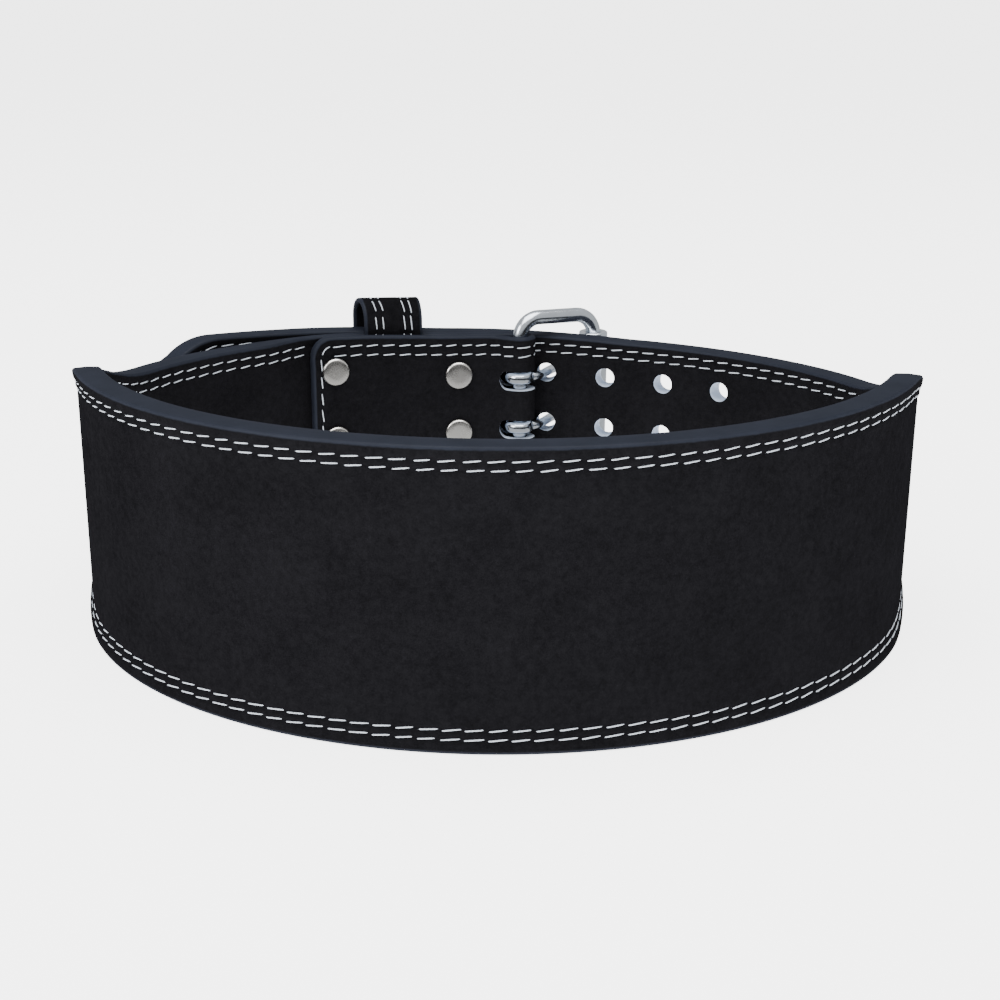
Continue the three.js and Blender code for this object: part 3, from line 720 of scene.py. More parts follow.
def sewing(skin, paths, thread, keep, seed):
    """Points, faces and UVs of stitches: short slanted threads that rise out of the leather and dive back.

    Each stitch is a tube along its piece of the path. Its height over the surface falls with the sixth power
    of the distance from its middle, its radius shrinks at both ends, and it leans sideways by its slant."""
    chance = np.random.default_rng(seed)
    radius, pitch, dash = (thread.thickness / 2 / MM, thread.pitch / MM, thread.dash / MM)
    rings, sides = 11, 8
    t = np.sin(np.linspace(-math.pi / 2, math.pi / 2, rings))
    turn = np.linspace(0, 2 * math.pi, sides, endpoint=False)
    one = grid_quads(rings, sides)
    cap = np.array([[0, 3, 2, 1], [0, 7, 4, 3], [4, 7, 6, 5]])
    one = np.concatenate([one, cap, cap[:, ::-1] + (rings - 1) * sides])
    all_points, all_faces, all_uv = [], [], []
    count = 0
    for path in paths:
        steps = np.hypot(*np.diff(path, axis=0).T)
        run = np.concatenate([[0], np.cumsum(steps)])
        number = int(run[-1] / pitch)
        middle = (np.arange(number) + 0.5) * run[-1] / number + chance.normal(0, PLACE_SPREAD, number)
        if keep is not None:
            middle = middle[keep(np.interp(middle, run, path[:, 0]))]
        number = len(middle)
        low = np.interp(middle, run, path[:, 1]) < 0
        length = dash * (1 + LOW_STITCH_GAIN * low + chance.normal(0, LENGTH_SPREAD, number))
        slant = thread.slant + chance.normal(0, SLANT_SPREAD, number)
        place = np.clip(middle[:, None] + t * length[:, None] / 2, 0, run[-1])
        u, v = (np.interp(place, run, path[:, k]) for k in (0, 1))
        point, normal = skin(u, v)
        ahead = unit(np.gradient(point, axis=1) + 1e-9)
        side = unit(np.cross(normal, ahead))
        lean = (slant * length / 2)[:, None, None] * t[:, None] * side
        height = radius * 0.35 * (1 - 3.4 * np.abs(t) ** 6)
        width = radius * np.sqrt(np.maximum(1 - 0.8 * np.abs(t) ** 8, 0.02))
        centre = point + lean + normal * height[:, None]
        ring = np.cos(turn)[:, None] * side[:, :, None] + np.sin(turn)[:, None] * normal[:, :, None]
        points = centre[:, :, None] + width[:, None, None] * ring
        twist = np.broadcast_to((t * dash / 2)[:, None], (rings, sides))
        around = np.broadcast_to(turn * radius, (rings, sides))
        uv = np.broadcast_to(np.stack([twist, around], axis=-1), (number, rings, sides, 2))
        all_points.append(points.reshape(-1, 3))
        all_uv.append(uv.reshape(-1, 2))
        starts = np.arange(number)[:, None, None] * rings * sides + count
        all_faces.append((one[None] + starts).reshape(-1, 4))
        count += number * rings * sides
    return np.concatenate(all_points), np.concatenate(all_faces), np.concatenate(all_uv)


def keeper_middle(along):
    """Offsets of the middle lines of the keeper's inner and outer legs."""
    inner = buckle_end_outer(along) - layer_thickness(along) - layer_room(along) / 2
    outer = tongue_outer(along) + LAYER_GAP + KEEPER_LEATHER / 2
    return inner, outer


def keeper_skin(u, v, depth=KEEPER_LEATHER / 2):
    """Point and outward normal of the keeper: u is the distance round the loop, v across its width.

    The loop is two straight legs joined by half circles whose diameter is the distance between the legs."""
    along = KEEPER_ALONG + v
    inner, outer = keeper_middle(along)
    radius = (outer - inner) / 2
    straight = KEEPER_HALF_HEIGHT - KEEPER_LEATHER / 2 - radius
    arc = math.pi * radius
    lap = 4 * straight + 2 * arc
    w = np.mod(u, 1.0) * lap
    up_leg = w < 2 * straight
    top = (w >= 2 * straight) & (w < 2 * straight + arc)
    down_leg = (w >= 2 * straight + arc) & (w < 4 * straight + arc)
    turn = np.where(top, (w - 2 * straight) / radius, (w - 4 * straight - arc) / radius)
    turn = np.where(up_leg | down_leg, 0, turn)
    across_n = np.where(up_leg, -1.0, np.where(down_leg, 1.0, np.where(top, -np.cos(turn), np.cos(turn))))
    up_n = np.where(up_leg | down_leg, 0.0, np.where(top, np.sin(turn), -np.sin(turn)))
    below = np.where(down_leg, 3 * straight + arc - w, -straight)
    up = np.where(up_leg, w - straight, np.where(top, straight, below))
    across = (inner + outer) / 2 + across_n * (radius + depth)
    up = up + up_n * (radius + depth)
    plan = OVAL.offset(along, across)
    point = np.concatenate([plan, (float(buckle_end_centre(KEEPER_ALONG)) + up)[..., None]], axis=-1)
    normal = np.concatenate([OVAL.normal(along) * across_n[..., None], up_n[..., None]], axis=-1)
    return point, normal


def keeper_mesh():
    """Closed band: a rounded rectangle, wide and thin, carried once round the keeper's loop."""
    round_edge = 0.8
    half, thin = KEEPER_WIDTH / 2, KEEPER_LEATHER / 2
    turn = np.radians(np.arange(0, 91, 15))
    corner_v = half - round_edge + round_edge * np.sin(turn)
    corner_d = thin - round_edge + round_edge * np.cos(turn)
    flat = np.linspace(-(half - round_edge), half - round_edge, 24)[1:-1]
    v = np.concatenate([flat, corner_v, corner_v[::-1], flat[::-1], -corner_v, -corner_v[::-1]])
    face = np.full(len(flat), thin)
    d = np.concatenate([face, corner_d, -corner_d[::-1], -face, -corner_d, corner_d[::-1]])
    rows = 132
    u = np.linspace(0, 1, rows, endpoint=False)
    u, v = np.meshgrid(u, v, indexing="ij")
    d = np.broadcast_to(d, v.shape)
    sewn = sum(furrow(np.abs(v) - half + row, KEEPER_GROOVE_REACH) for row in KEEPER_ROWS)
    points, _ = keeper_skin(u, v, d - KEEPER_GROOVE * sewn * (d > 0))
    inset = np.maximum(half - np.abs(v), 0)
    uv = np.stack([u * 240, inset], axis=-1).reshape(-1, 2)
    return points.reshape(-1, 3), grid_quads(rows, v.shape[1], close_rows=True), uv


def rounded_path(half_length, half_height, corner, steps):
    """Rounded rectangle: quarter circles of the corner radius joined by straight sides."""
    turn = np.linspace(0, math.pi / 2, steps)
    signs = ((1, 1), (-1, 1), (-1, -1), (1, -1))
    rows = []
    for quarter, (sx, sz) in enumerate(signs):
        angle = quarter * math.pi / 2 + turn
        rows.append(np.stack([sx * (half_length - corner) + corner * np.cos(angle),
                              sz * (half_height - corner) + corner * np.sin(angle)], axis=-1))
    return np.concatenate(rows)


def heel_bar_centre():
    """Middle of the heel bar."""
    at = OVAL.offset(-HEEL_BAR, HEEL_OFFSET)
    return np.array([at[0], at[1], float(buckle_end_centre(-HEEL_BAR))])


def front_bar_centre():
    """Middle of the front bar, which the roller turns on."""
    at = OVAL.offset(-FRONT_BAR, ROLLER_DIAMETER / 2 + RUNNING_GAP)
    return np.array([at[0], at[1], float(buckle_end_centre(-HEEL_BAR)) - FRONT_BAR_DROP])


def smooth_curve(knots, count):
    """Centripetal spline through the knots, read at equal steps of its length."""
    padded = np.concatenate([[2 * knots[0] - knots[1]], knots, [2 * knots[-1] - knots[-2]]])
    pieces = []
    for i in range(len(knots) - 1):
        p0, p1, p2, p3 = padded[i:i + 4]
        t = np.linspace(0, 1, 24, endpoint=False)[:, None]
        pieces.append(0.5 * (2 * p1 + (p2 - p0) * t + (2 * p0 - 5 * p1 + 4 * p2 - p3) * t ** 2
                             + (3 * p1 - p0 - 3 * p2 + p3) * t ** 3))
    fine = np.concatenate(pieces + [knots[-1:]])
    run = np.concatenate([[0], np.cumsum(np.linalg.norm(np.diff(fine, axis=0), axis=1))])
    place = np.linspace(0, run[-1], count)
    return np.stack([np.interp(place, run, fine[:, k]) for k in range(3)], axis=-1)


def prong_route(height):
    """Middle line of a prong's shank, from its eye through its hole and over the roller."""
    eye = PRONG_EYE_DIAMETER / 2
    over = ROLLER_DIAMETER + 2 * RUNNING_GAP + PRONG_SHANK / 2
    knots = ((HEEL_BAR + eye * 0.75, HEEL_OFFSET + 0.6), (HEEL_BAR + eye + 1.4, HEEL_OFFSET + 2.6),
             (PRONG_COLUMN - 1.9, -LEATHER - 0.4), (PRONG_COLUMN - 0.4, -LEATHER / 2),
             (PRONG_COLUMN + 1, 0.0), (PRONG_COLUMN + 3.2, over * 0.34),
             (FRONT_BAR - 11, over * 0.7), (FRONT_BAR - 5.5, over * 0.95),
             (FRONT_BAR, over), (FRONT_BAR + 4.5, over - 0.6))
    rows = [np.append(OVAL.offset(-right, offset), height) for right, offset in knots]
    return smooth_curve(np.array(rows), 64)


def ring_profile(inner, outer, length, bevel):
    """Closed profile of a short tube with rounded outer rims, as radius and length."""
    half = length / 2
    turn = np.radians(np.arange(0, 91, 18))
    rim = np.stack([outer - bevel + bevel * np.sin(turn), half - bevel + bevel * np.cos(turn)], axis=-1)
    lower = rim[::-1] * [1, -1]
    small = min(0.3, bevel)
    return np.concatenate([[[inner, -half + small], [inner + small, -half]], lower[::-1], rim[::-1],
                           [[inner + small, half], [inner, half - small]]])


class Number:
    """A value worked out by a shader. Plain arithmetic on it adds Math nodes to its material."""

    def __init__(self, look, socket):
        self.look = look
        self.socket = socket

    def math(self, operation, first, second):
        """Math node on two values, each a Number or a plain number."""
        return self.look.value("ShaderNodeMath", {"operation": operation}, {0: first, 1: second})

    def __add__(self, other):
        return self.math("ADD", self, other)

    __radd__ = __add__

    def __sub__(self, other):
        return self.math("SUBTRACT", self, other)

    def __rsub__(self, other):
        return self.math("SUBTRACT", other, self)

    def __mul__(self, other):
        return self.math("MULTIPLY", self, other)

    __rmul__ = __mul__


class Look:
    """A procedural material and the nodes that it is built from."""

    def __init__(self, name):
        self.material = bpy.data.materials.new(name)
        self.material.use_nodes = True
        self.tree = self.material.node_tree
        self.tree.nodes.clear()

    def node(self, kind, settings=None, sockets=None):
        """Adds a node: its settings first, then the values or links of its sockets."""
        node = self.tree.nodes.new(kind)
        for name, value in (settings or {}).items():
            setattr(node, name, value)
        for name, value in (sockets or {}).items():
            if isinstance(value, Number):
                value = value.socket
            if isinstance(value, bpy.types.NodeSocket):
                self.tree.links.new(value, node.inputs[name])
            else:
                node.inputs[name].default_value = value
        return node

    def value(self, kind, settings=None, sockets=None, output=0):
        """Adds a node and returns one of its outputs as a Number."""
        return Number(self, self.node(kind, settings, sockets).outputs[output])

    def place(self):
        """Object coordinates."""
        return self.node("ShaderNodeTexCoord").outputs["Object"]

    def noise(self, vector, scale, detail=3.0, roughness=0.55):
        """Noise between 0 and 1 with about the given number of lumps per metre."""
        return self.value("ShaderNodeTexNoise", None,
                          {"Vector": vector, "Scale": scale, "Detail": detail, "Roughness": roughness})

    def step(self, value, low, high):
        """Smooth step of a value from 0 at low to 1 at high."""
        return self.value("ShaderNodeMapRange", {"interpolation_type": "SMOOTHSTEP"},
                          {"Value": value, "From Min": low, "From Max": high})

    def blend(self, factor, first, second):
        """Colour between two colours."""
        mix = self.node("ShaderNodeMix", {"data_type": "RGBA"}, {0: factor, 6: first, 7: second})
        return mix.outputs[2]

    def bump(self, height, distance, strength):
        """Normal from a height in units of the given distance."""
        sockets = {"Height": height, "Distance": distance, "Strength": strength}
        return self.node("ShaderNodeBump", None, sockets).outputs[0]

    def surface(self, sockets):
        """Principled shader with the given sockets as the material's surface."""
        shader = self.node("ShaderNodeBsdfPrincipled", None, sockets)
        self.node("ShaderNodeOutputMaterial", None, {"Surface": shader.outputs[0]})
        return self.material


def rgba(colour, gain=1.0):
    """Colour with full alpha, made lighter or darker by a gain."""
    return (colour[0] * gain, colour[1] * gain, colour[2] * gain, 1.0)


def suede_look(leather):
    """Napped black suede that turns to satin paint towards the cut outline, read from the flat UV map."""
    look = Look("black_suede")
    place = look.place()
    flat = look.node("ShaderNodeUVMap", {"uv_map": "flat"}).outputs[0]
    inset = look.value("ShaderNodeSeparateXYZ", None, {0: flat}, output=1)
    nap = look.noise(place, 1500.0, 4.0, 0.7)
    fibre = look.noise(place, 420.0, 3.0, 0.6)
    cloud = look.noise(place, 46.0, 3.0, 0.5)
    suede = look.blend(0.8 * nap + 0.7 * fibre + 0.4 * cloud - 0.45,
                       rgba(leather.suede_colour, 0.35), rgba(leather.suede_colour, 1.9))
    ragged = inset + 0.0006 * fibre
    paint = 1 - look.step(ragged, 0.0011, 0.0018)
    painted = look.blend(look.noise(place, 90.0),
                         rgba(leather.edge_colour, 0.8), rgba(leather.edge_colour, 1.25))
    height = (nap * 0.8 + fibre * 0.9) * (1 - 0.85 * paint) + 0.35 * cloud
    return look.surface({
        "Base Color": look.blend(paint, suede, painted),
        "Roughness": 0.92 - 0.4 * paint + 0.06 * cloud,
        "Coat Weight": 0.12 * paint,
        "Coat Roughness": 0.42,
        "Specular IOR Level": 0.0,
        "Normal": look.bump(height, 0.00022, 0.8),
    })


def cut_look(leather):
    """Pale cut leather with fibres lying along the layers."""
    look = Look("punched_leather")
    place = look.place()
    fibre = look.noise(place, 900.0, 4.0, 0.65)
    layer = look.noise(place, 240.0, 2.0)
    tone = look.blend(fibre * 0.6 + layer * 0.5,
                      rgba(leather.cut_colour, 0.6), rgba(leather.cut_colour, 1.15))
    return look.surface({"Base Color": tone, "Roughness": 0.75 + 0.1 * fibre,
                         "Normal": look.bump(fibre, 0.0002, 0.7)})


def metal_look(name, colour, roughness, mark, relief):
    """Polished metal with faint smears in its gloss, colour and relief."""
    look = Look(name)
    place = look.place()
    smear = look.noise(place, 160.0, 4.0, 0.6)
    grain = look.noise(place, 2600.0, 2.0, 0.6)
    tone = look.blend(smear, rgba(colour, 0.86), rgba(colour, 1.08))
    return look.surface({"Base Color": tone, "Metallic": 1.0,
                         "Roughness": roughness + mark * (smear - 0.4) + 0.05 * grain,
                         "Normal": look.bump(grain + 1.5 * smear, 0.00004, relief)})


def chrome_look(metal):
    """Chrome of the buckle."""
    return metal_look("polished_chrome", metal.chrome, metal.chrome_roughness, 0.1, 0.25)


def nickel_look(metal):
    """Satin nickel of the rivets."""
    return metal_look("satin_nickel", metal.nickel, metal.nickel_roughness, 0.1, 0.1)


def thread_look(thread):
    """Waxed off-white thread with its twist as slanted ridges, read from the flat UV map, and with painted
    shade: its colour is darker along the low bands of the twist.
    """
    look = Look("waxed_thread")
    flat = look.node("ShaderNodeUVMap", {"uv_map": "flat"}).outputs[0]
    twist = look.value("ShaderNodeTexWave", {"wave_type": "BANDS", "bands_direction": "DIAGONAL"},
                       {"Vector": flat, "Scale": 520.0, "Distortion": 0.4, "Detail": 1.0}, output=1)
    soil = look.noise(look.place(), 120.0, 3.0)
    # The colour darkens along the low bands of the twist, which is painted shade in the grooves between the
    # ridges; the soil noise adds a mottle of dirt.
    tone = look.blend(0.55 * soil + 0.35 * twist, rgba(thread.colour, 0.72), rgba(thread.colour, 1.12))
    return look.surface({"Base Color": tone, "Roughness": 0.62 + 0.15 * soil,
                         "Normal": look.bump(twist, 0.00012, 0.8)})


def floor_look(stage):
    """Plain pale floor with a very faint mottle."""
    look = Look("floor")
    cloud = look.noise(look.place(), 3.0, 2.0)
    tone = look.blend(cloud, rgba(stage.floor_colour, 0.99), rgba(stage.floor_colour, 1.01))
    return look.surface({"Base Color": tone, "Roughness": 0.8 + 0.05 * cloud, "Specular IOR Level": 0.1,
                         "Emission Color": (1.0, 1.0, 1.0, 1.0), "Emission Strength": stage.floor_glow})


def shared(name, make, settings):
    """A material by name, made the first time that it is asked for."""
    return bpy.data.materials.get(name) or make(settings)


def amount(name, description, default, low=0.0, high=1.0, **kind):
    """Setting for a number between two limits."""
    return bpy.props.FloatProperty(name=name, description=description, default=default, min=low, max=high,
                                   **kind)


def tint(name, description, default):
    """Setting for a colour."""
    return bpy.props.FloatVectorProperty(name=name, description=description, default=default,
                                         min=0.0, max=1.0, subtype="COLOR")


class BeltLeatherSettings(bpy.types.PropertyGroup):
    """Leather of the strap and the keeper."""

    edge_round: amount("Edge rounding", "Radius of the painted edges", 0.0012, 0.0005, 0.004, unit="LENGTH")
    edge_flare: amount("Edge flare", "How far the edges stand out", 0.0014, 0.0, 0.003, unit="LENGTH")
    groove: amount("Seam depth", "How deep the seams sink into the suede", 0.00045, 0.0, 0.001, unit="LENGTH")
    row_gap: amount("Row gap", "Distance between the two stitch rows", 0.0035, 0.002, 0.006, unit="LENGTH")
    wide_row_gap: amount("Back row gap", "The same distance at the back", 0.0030, 0.002, 0.006, unit="LENGTH")
    suede_colour: tint("Suede", "Colour of the nap", (0.0052, 0.0051, 0.0059))
    edge_colour: tint("Edge paint", "Colour of the cut edges", (0.014, 0.0162, 0.0235))
    cut_colour: tint("Cut leather", "Colour of the punched walls", (0.5, 0.56, 0.66))


class BeltThreadSettings(bpy.types.PropertyGroup):
    """Thread of the seams."""

    thickness: amount("Thickness", "Diameter of the thread", 0.00052, 0.0003, 0.002, unit="LENGTH")
    pitch: amount("Pitch", "Distance from stitch to stitch", 0.0074, 0.004, 0.02, unit="LENGTH")
    dash: amount("Stitch", "Length of thread that shows in each stitch", 0.0057, 0.002, 0.015, unit="LENGTH")
    slant: amount("Slant", "Rise of a stitch over its length", 0.1, 0.0, 0.4, subtype="FACTOR")
    colour: tint("Thread", "Colour of the thread", (0.56, 0.6, 0.66))


class BeltMetalSettings(bpy.types.PropertyGroup):
    """Chrome of the buckle and nickel of the rivets."""

    chrome: tint("Chrome", "Colour of the buckle", (0.7, 0.74, 0.79))
    chrome_roughness: amount("Chrome roughness", "Blur of its reflections", 0.16, subtype="FACTOR")
    nickel: tint("Nickel", "Colour of the rivets", (0.9, 0.87, 0.82))
    nickel_roughness: amount("Nickel roughness", "Blur of its reflections", 0.24, subtype="FACTOR")


class BeltStageSettings(bpy.types.PropertyGroup):
    """Floor and light round the belt."""

    floor_colour: tint("Floor", "Colour of the floor", (0.86, 0.86, 0.86))
    floor_glow: amount("Floor glow", "Light that the floor gives off by itself", 3.4, 0.0, 10.0)
    sky: amount("Sky", "Brightness of the light from all round", 0.65, 0.0, 10.0)
    overhead: amount("Overhead", "Power of the soft light above", 42.0, 0.0, 500.0, unit="POWER")
    side: amount("Side", "Power of the soft light at the left", 18.0, 0.0, 500.0, unit="POWER")


class BELT_OT_strap(bpy.types.Operator):
    """Builds the suede strap with its painted edges, prong holes and slots"""

    bl_idname = "belt.strap"
    bl_label = "Strap"

    def execute(self, context):
        leather = context.scene.belt_leather
        strap = Strap(leather)
        points, quads, fans, uv = strap_mesh(strap)
        piece = add_piece("strap", points, [quads, fans], uv)
        cutters = []
        hole_points, hole_quads, hole_fans = hole_cutters()
        mark = np.full((len(hole_points), 2), CUT_MARK)
        cutters.append(add_piece("hole_punches", hole_points, [hole_quads, hole_fans], mark))
        for height in slot_heights():
            slot_points, slot_quads, slot_ends = slot_cutter(height)
            mark = np.full((len(slot_points), 2), CUT_MARK)
            cutters.append(add_piece("slot_punch", slot_points, [slot_quads, slot_ends], mark))
        cut(piece, cutters)
        crease(piece, 50)
        looks = [shared("black_suede", suede_look, leather), shared("punched_leather", cut_look, leather)]
        finish_piece(piece, "suede", looks, "belt_strap")
        return {"FINISHED"}


class BELT_OT_keeper(bpy.types.Operator):
    """Builds the keeper loop, a sewn leather band round the folded buckle end and the tongue"""

    bl_idname = "belt.keeper"
    bl_label = "Keeper"

    def execute(self, context):
        points, quads, uv = keeper_mesh()
        piece = add_piece("keeper", points, [quads], uv)
        looks = [shared("black_suede", suede_look, context.scene.belt_leather)]
        finish_piece(piece, "keeper_leather", looks, "keeper_loop")
        return {"FINISHED"}


class BELT_OT_seams(bpy.types.Operator):
    """Sews the stitch rows on both faces of the strap and round the keeper"""

    bl_idname = "belt.seams"
    bl_label = "Seams"

    def execute(self, context):
        leather, thread = context.scene.belt_leather, context.scene.belt_thread
        strap = Strap(leather)
        look = shared("waxed_thread", thread_look, thread)
        inset = float(strap.first_row(np.array(0.0)))
        tip_inset = float(strap.first_row(np.array(strap.length)))
        outer = outline_path(strap, strap.first_row, inset + 0.02, strap.length - tip_inset - 0.02)
        outer = np.concatenate([outer, outer[:1]])
        second = outline_path(strap, strap.second_row, float(strap.second_row(np.array(0.0))) + 1,
                              strap.length - float(strap.second_row(np.array(strap.length))) - 0.02)

        def shown_outside(s):
            """Which stitches of the finished face aren't hidden under the tongue."""
            return (s < strap.run_start + 8) | (s > strap.front_start + 100)

        def shown_inside(s):
            """Which stitches of the back face aren't hidden between layers."""
            on_layers = (s > strap.tongue_start - 2) & (s < strap.tongue_start + 96)
            return (s > strap.front_start + FLAP_LENGTH + 3) & ~on_layers

        for name, side, keep, seed in (("seams_outside", 1, shown_outside, 3),
                                       ("seams_inside", -1, shown_inside, 5)):
            points, faces, uv = sewing(strap.skin(side), [outer, second], thread, keep, seed)
            finish_piece(add_piece(name, points, [faces], uv, outwards=False), "thread", [look])
        rows = [np.stack([np.linspace(0, 1, 400), np.full(400, side * (KEEPER_WIDTH / 2 - row))], axis=-1)
                for side in (1, -1) for row in KEEPER_ROWS]
        lap = self.keeper_lap()
        points, faces, uv = sewing(lambda u, v: keeper_skin(u / lap, v, KEEPER_LEATHER / 2 - KEEPER_GROOVE),
                                   [row * [lap, 1] for row in rows], thread, None, 7)
        finish_piece(add_piece("seams_keeper", points, [faces], uv, outwards=False), "thread", [look])
        return {"FINISHED"}

    @staticmethod
    def keeper_lap():
        """Length of the keeper's middle line."""
        inner, outer = keeper_middle(KEEPER_ALONG)
        radius = float(outer - inner) / 2
        return 4 * (KEEPER_HALF_HEIGHT - KEEPER_LEATHER / 2 - radius) + 2 * math.pi * radius


class BELT_OT_buckle(bpy.types.Operator):
    """Builds the chromed wire frame of the buckle and the roller on its front bar"""

    bl_idname = "belt.buckle"
    bl_label = "Buckle"

    def execute(self, context):
        metal = context.scene.belt_metal
        chrome = shared("polished_chrome", chrome_look, metal)
        heel, front = heel_bar_centre(), front_bar_centre()
        across = front - heel
        half_length = math.hypot(across[0], across[1]) / 2
        ahead = across / (2 * half_length)
        up = np.array([0.0, 0.0, 1.0])
        flat = rounded_path(half_length, FRAME_HALF_HEIGHT, FRAME_CORNER, 14)
        path = (heel + front) / 2 + flat[:, :1] * ahead + flat[:, 1:] * up
        keep = np.linalg.norm(path - np.roll(path, 1, axis=0), axis=1) > 1e-6
        path = path[keep]
        sides = 24
        normal = unit(np.cross(ahead, up))
        points = tube(path, normal, WIRE / 2, sides, closed=True)
        wire = add_piece("frame_wire", points, [grid_quads(len(path), sides, close_rows=True)])
        finish_piece(wire, "chrome", [chrome], "buckle_frame")
        profile = ring_profile(WIRE / 2 + RUNNING_GAP, ROLLER_DIAMETER / 2, ROLLER_LENGTH, 0.7)
        sides = 48
        points = lathe(profile, front, up, sides)
        roller = add_piece("roller", points, [grid_quads(len(profile), sides, close_rows=True)])
        crease(roller, 60)
        finish_piece(roller, "chrome", [chrome], "buckle_roller")
        return {"FINISHED"}


class BELT_OT_prongs(bpy.types.Operator):
    """Builds the two prongs, each an eye round the heel bar and a bent shank"""

    bl_idname = "belt.prongs"
    bl_label = "Prongs"

    def execute(self, context):
        metal = context.scene.belt_metal
        chrome = shared("polished_chrome", chrome_look, metal)
        heights = [(a + b) / 2 for a, b in zip(slot_heights(), hole_heights(-PRONG_COLUMN))]
        for name, height in zip(("upper", "lower"), heights):
            heel = heel_bar_centre()
            heel[2] = height
            profile = ring_profile(WIRE / 2 + RUNNING_GAP, PRONG_EYE_DIAMETER / 2, PRONG_WIDTH, PRONG_RIM)
            sides = 40
            eye = lathe(profile, heel, [0, 0, 1], sides)
            route = prong_route(height)
            t = np.linspace(0, 1, len(route))
            end = np.clip((t - 0.955) / 0.045, 0, 1)
            thinner = 1 - 0.12 * ease((t - 0.6) / 0.3)
            radius = PRONG_SHANK / 2 * thinner * np.sqrt(np.maximum(1 - end ** 2, 0.002))
            shank_sides = 20
            shank = tube(route, np.array([0.0, 0.0, 1.0]), radius, shank_sides)
            shank_faces = [grid_quads(len(route), shank_sides), end_fans(len(route), shank_sides)]
            shank_quads, caps = facing_out(shank, shank_faces)
            quads = facing_out(eye, [grid_quads(len(profile), sides, close_rows=True)])[0]
            faces = [np.concatenate([quads, shank_quads + len(eye)]), caps + len(eye)]
            piece = add_piece("prong_" + name + "_steel", np.concatenate([eye, shank]), faces, outwards=False)
            crease(piece, 50)
            finish_piece(piece, "chrome", [chrome], "prong_" + name)
        return {"FINISHED"}


class BELT_OT_rivets(bpy.types.Operator):
    """Builds the four rivets, each a flat cap with a rounded rim, a shank and a back cap"""

    bl_idname = "belt.rivets"
    bl_label = "Rivets"
    dome = ((0, 0), (0.5, 0.01), (0.84, 0.05), (0.9, 0.14), (0.95, 0.32), (0.985, 0.6), (1, 1.0))

    def execute(self, context):
        metal = context.scene.belt_metal
        nickel = shared("satin_nickel", nickel_look, metal)
        cap, top = RIVET_CAP / 2, RIVET_CAP_HEIGHT
        sides = 48
        for name, along, height in rivet_places():
            at, normal = face_frame(along, buckle_end_outer)
            depth = float(2 * layer_thickness(along) + layer_room(along))
            back = -LAYER_GAP
            profile = np.array([[cap * share, -depth - top + drop] for share, drop in self.dome] + [
                [cap, -depth - 0.15], [cap - 0.2, -depth], [RIVET_SHANK / 2, -depth],
                [RIVET_SHANK / 2, back - RIVET_BACK_HEIGHT], [RIVET_BACK_CAP / 2, back - RIVET_BACK_HEIGHT],
                [RIVET_BACK_CAP / 2, back - RIVET_RIM], [RIVET_BACK_CAP / 2 - RIVET_RIM, back], [0.0, back]])
            points = lathe(profile, [at[0], at[1], height], normal, sides)
            piece = add_piece(name + "_nickel", points, [grid_quads(len(profile), sides)])
            weld(piece)
            crease(piece, 45)
            finish_piece(piece, "nickel", [nickel], name)
        return {"FINISHED"}


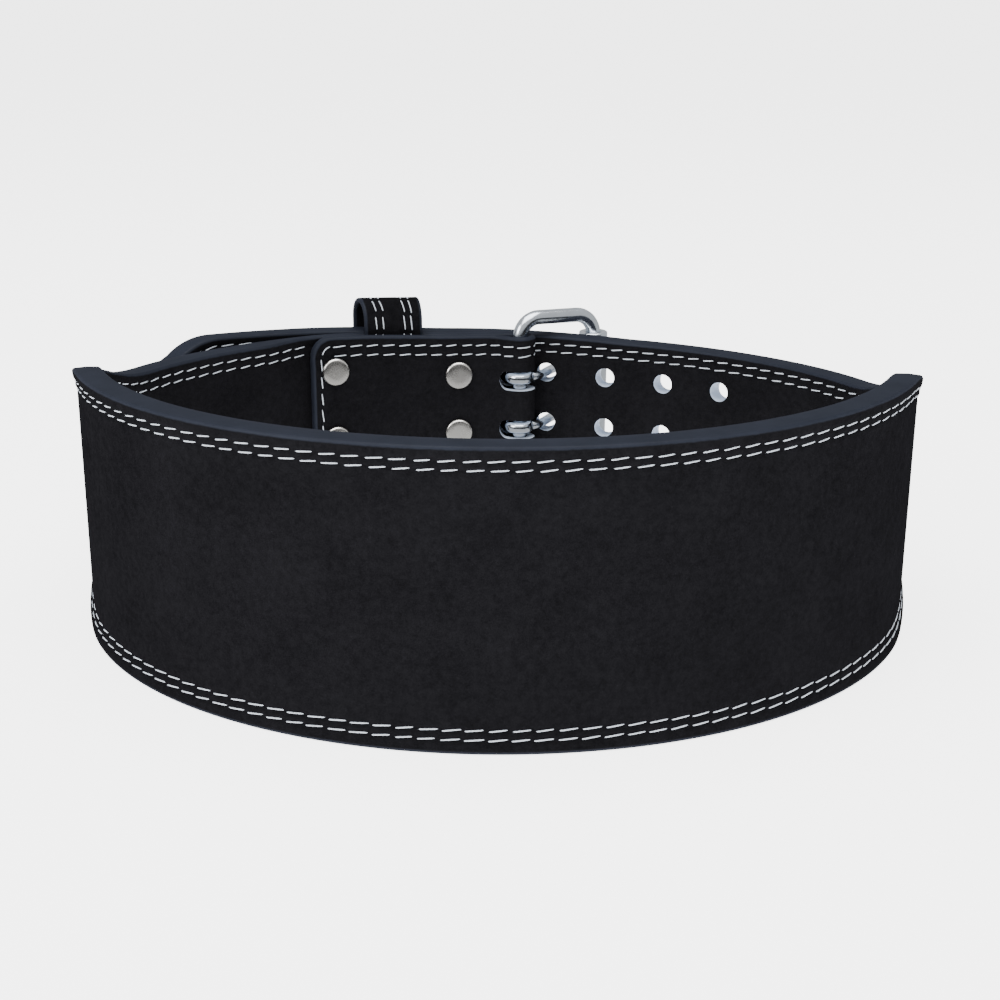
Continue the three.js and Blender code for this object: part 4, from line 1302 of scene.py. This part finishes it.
class BELT_OT_stage(bpy.types.Operator):
    """Sets the pale floor, the soft studio light and the camera"""

    bl_idname = "belt.stage"
    bl_label = "Stage"

    def execute(self, context):
        stage = context.scene.belt_stage
        self.add_camera(context.scene)
        self.add_floor(stage)
        self.add_light("overhead", stage.overhead, 1.6, (0.0, -0.35, 1.5), (0.0, 0.0, 0.05))
        self.add_light("side", stage.side, 0.9, (-1.4, -1.0, 0.9), (0.0, 0.0, 0.05))
        world = bpy.data.worlds.new("studio")
        world.use_nodes = True
        background = world.node_tree.nodes["Background"]
        background.inputs["Color"].default_value = (0.97, 0.985, 1.0, 1.0)
        background.inputs["Strength"].default_value = stage.sky
        context.scene.world = world
        return {"FINISHED"}

    @staticmethod
    def add_camera(scene):
        """Camera of the photograph: its place and pitch in the plan, a small roll and a slight shift."""
        data = bpy.data.cameras.new("camera")
        data.lens = CAMERA_LENS
        data.sensor_width = CAMERA_SENSOR
        data.shift_x, data.shift_y = CAMERA_SHIFT
        camera = bpy.data.objects.new("camera", data)
        place = (np.array(CAMERA_PLACE) + SHIFT) * MM
        pitch = math.radians(90 - CAMERA_PITCH)
        camera.matrix_world = (Matrix.Translation(Vector(place)) @ Matrix.Rotation(pitch, 4, "X")
                               @ Matrix.Rotation(CAMERA_ROLL, 4, "Z"))
        scene.collection.objects.link(camera)
        scene.camera = camera

    @staticmethod
    def add_floor(stage):
        """Flat disc of floor, wide enough to fill the view, whose glow is kept out of the metal."""
        turn = np.linspace(0, 2 * math.pi, FLOOR_CORNERS, endpoint=False)
        points = np.stack([np.cos(turn), np.sin(turn), np.zeros(FLOOR_CORNERS)], axis=-1) * FLOOR_RADIUS
        points = points - SHIFT * [1, 1, 0]
        floor = add_piece("floor", points, [np.arange(FLOOR_CORNERS)[None]], outwards=False)
        floor.data.materials.append(floor_look(stage))
        floor.visible_glossy = False

    @staticmethod
    def add_light(name, power, size, place, target):
        """Square soft light at a place, turned to a target."""
        data = bpy.data.lights.new(name, "AREA")
        data.energy = power
        data.shape = "SQUARE"
        data.size = size
        light = bpy.data.objects.new(name, data)
        light.location = place
        light.rotation_euler = (Vector(target) - Vector(place)).to_track_quat("-Z", "Y").to_euler()
        bpy.context.scene.collection.objects.link(light)


PIECE_OPERATORS = (BELT_OT_strap, BELT_OT_keeper, BELT_OT_seams, BELT_OT_buckle, BELT_OT_prongs,
                   BELT_OT_rivets)


class BELT_PT_panel(bpy.types.Panel):
    """Lists the belt's pieces and its stage"""

    bl_label = "Lifting Belt"
    bl_idname = "BELT_PT_panel"
    bl_space_type = "VIEW_3D"
    bl_region_type = "UI"
    bl_category = "Belt"

    def draw(self, context):
        column = self.layout.column()
        for operator in PIECE_OPERATORS + (BELT_OT_stage,):
            column.operator(operator.bl_idname)
        for name in SETTINGS:
            group = getattr(context.scene, name)
            box = column.box()
            for setting in group.__annotations__:
                box.prop(group, setting)


SETTINGS = {
    "belt_leather": BeltLeatherSettings,
    "belt_thread": BeltThreadSettings,
    "belt_metal": BeltMetalSettings,
    "belt_stage": BeltStageSettings,
}
CLASSES = tuple(SETTINGS.values()) + PIECE_OPERATORS + (BELT_OT_stage, BELT_PT_panel)


def register():
    """Registers the classes and puts the settings on the scene."""
    for item in CLASSES:
        bpy.utils.register_class(item)
    for name, group in SETTINGS.items():
        setattr(bpy.types.Scene, name, bpy.props.PointerProperty(type=group))


def unregister():
    """Takes the settings and the classes away again."""
    for name in SETTINGS:
        delattr(bpy.types.Scene, name)
    for item in reversed(CLASSES):
        bpy.utils.unregister_class(item)


def main():
    """Registers the add-on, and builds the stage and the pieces."""
    register()
    bpy.ops.belt.stage()
    bpy.ops.belt.strap()
    bpy.ops.belt.keeper()
    bpy.ops.belt.seams()
    bpy.ops.belt.buckle()
    bpy.ops.belt.prongs()
    bpy.ops.belt.rivets()


if __name__ == "__main__":
    main()
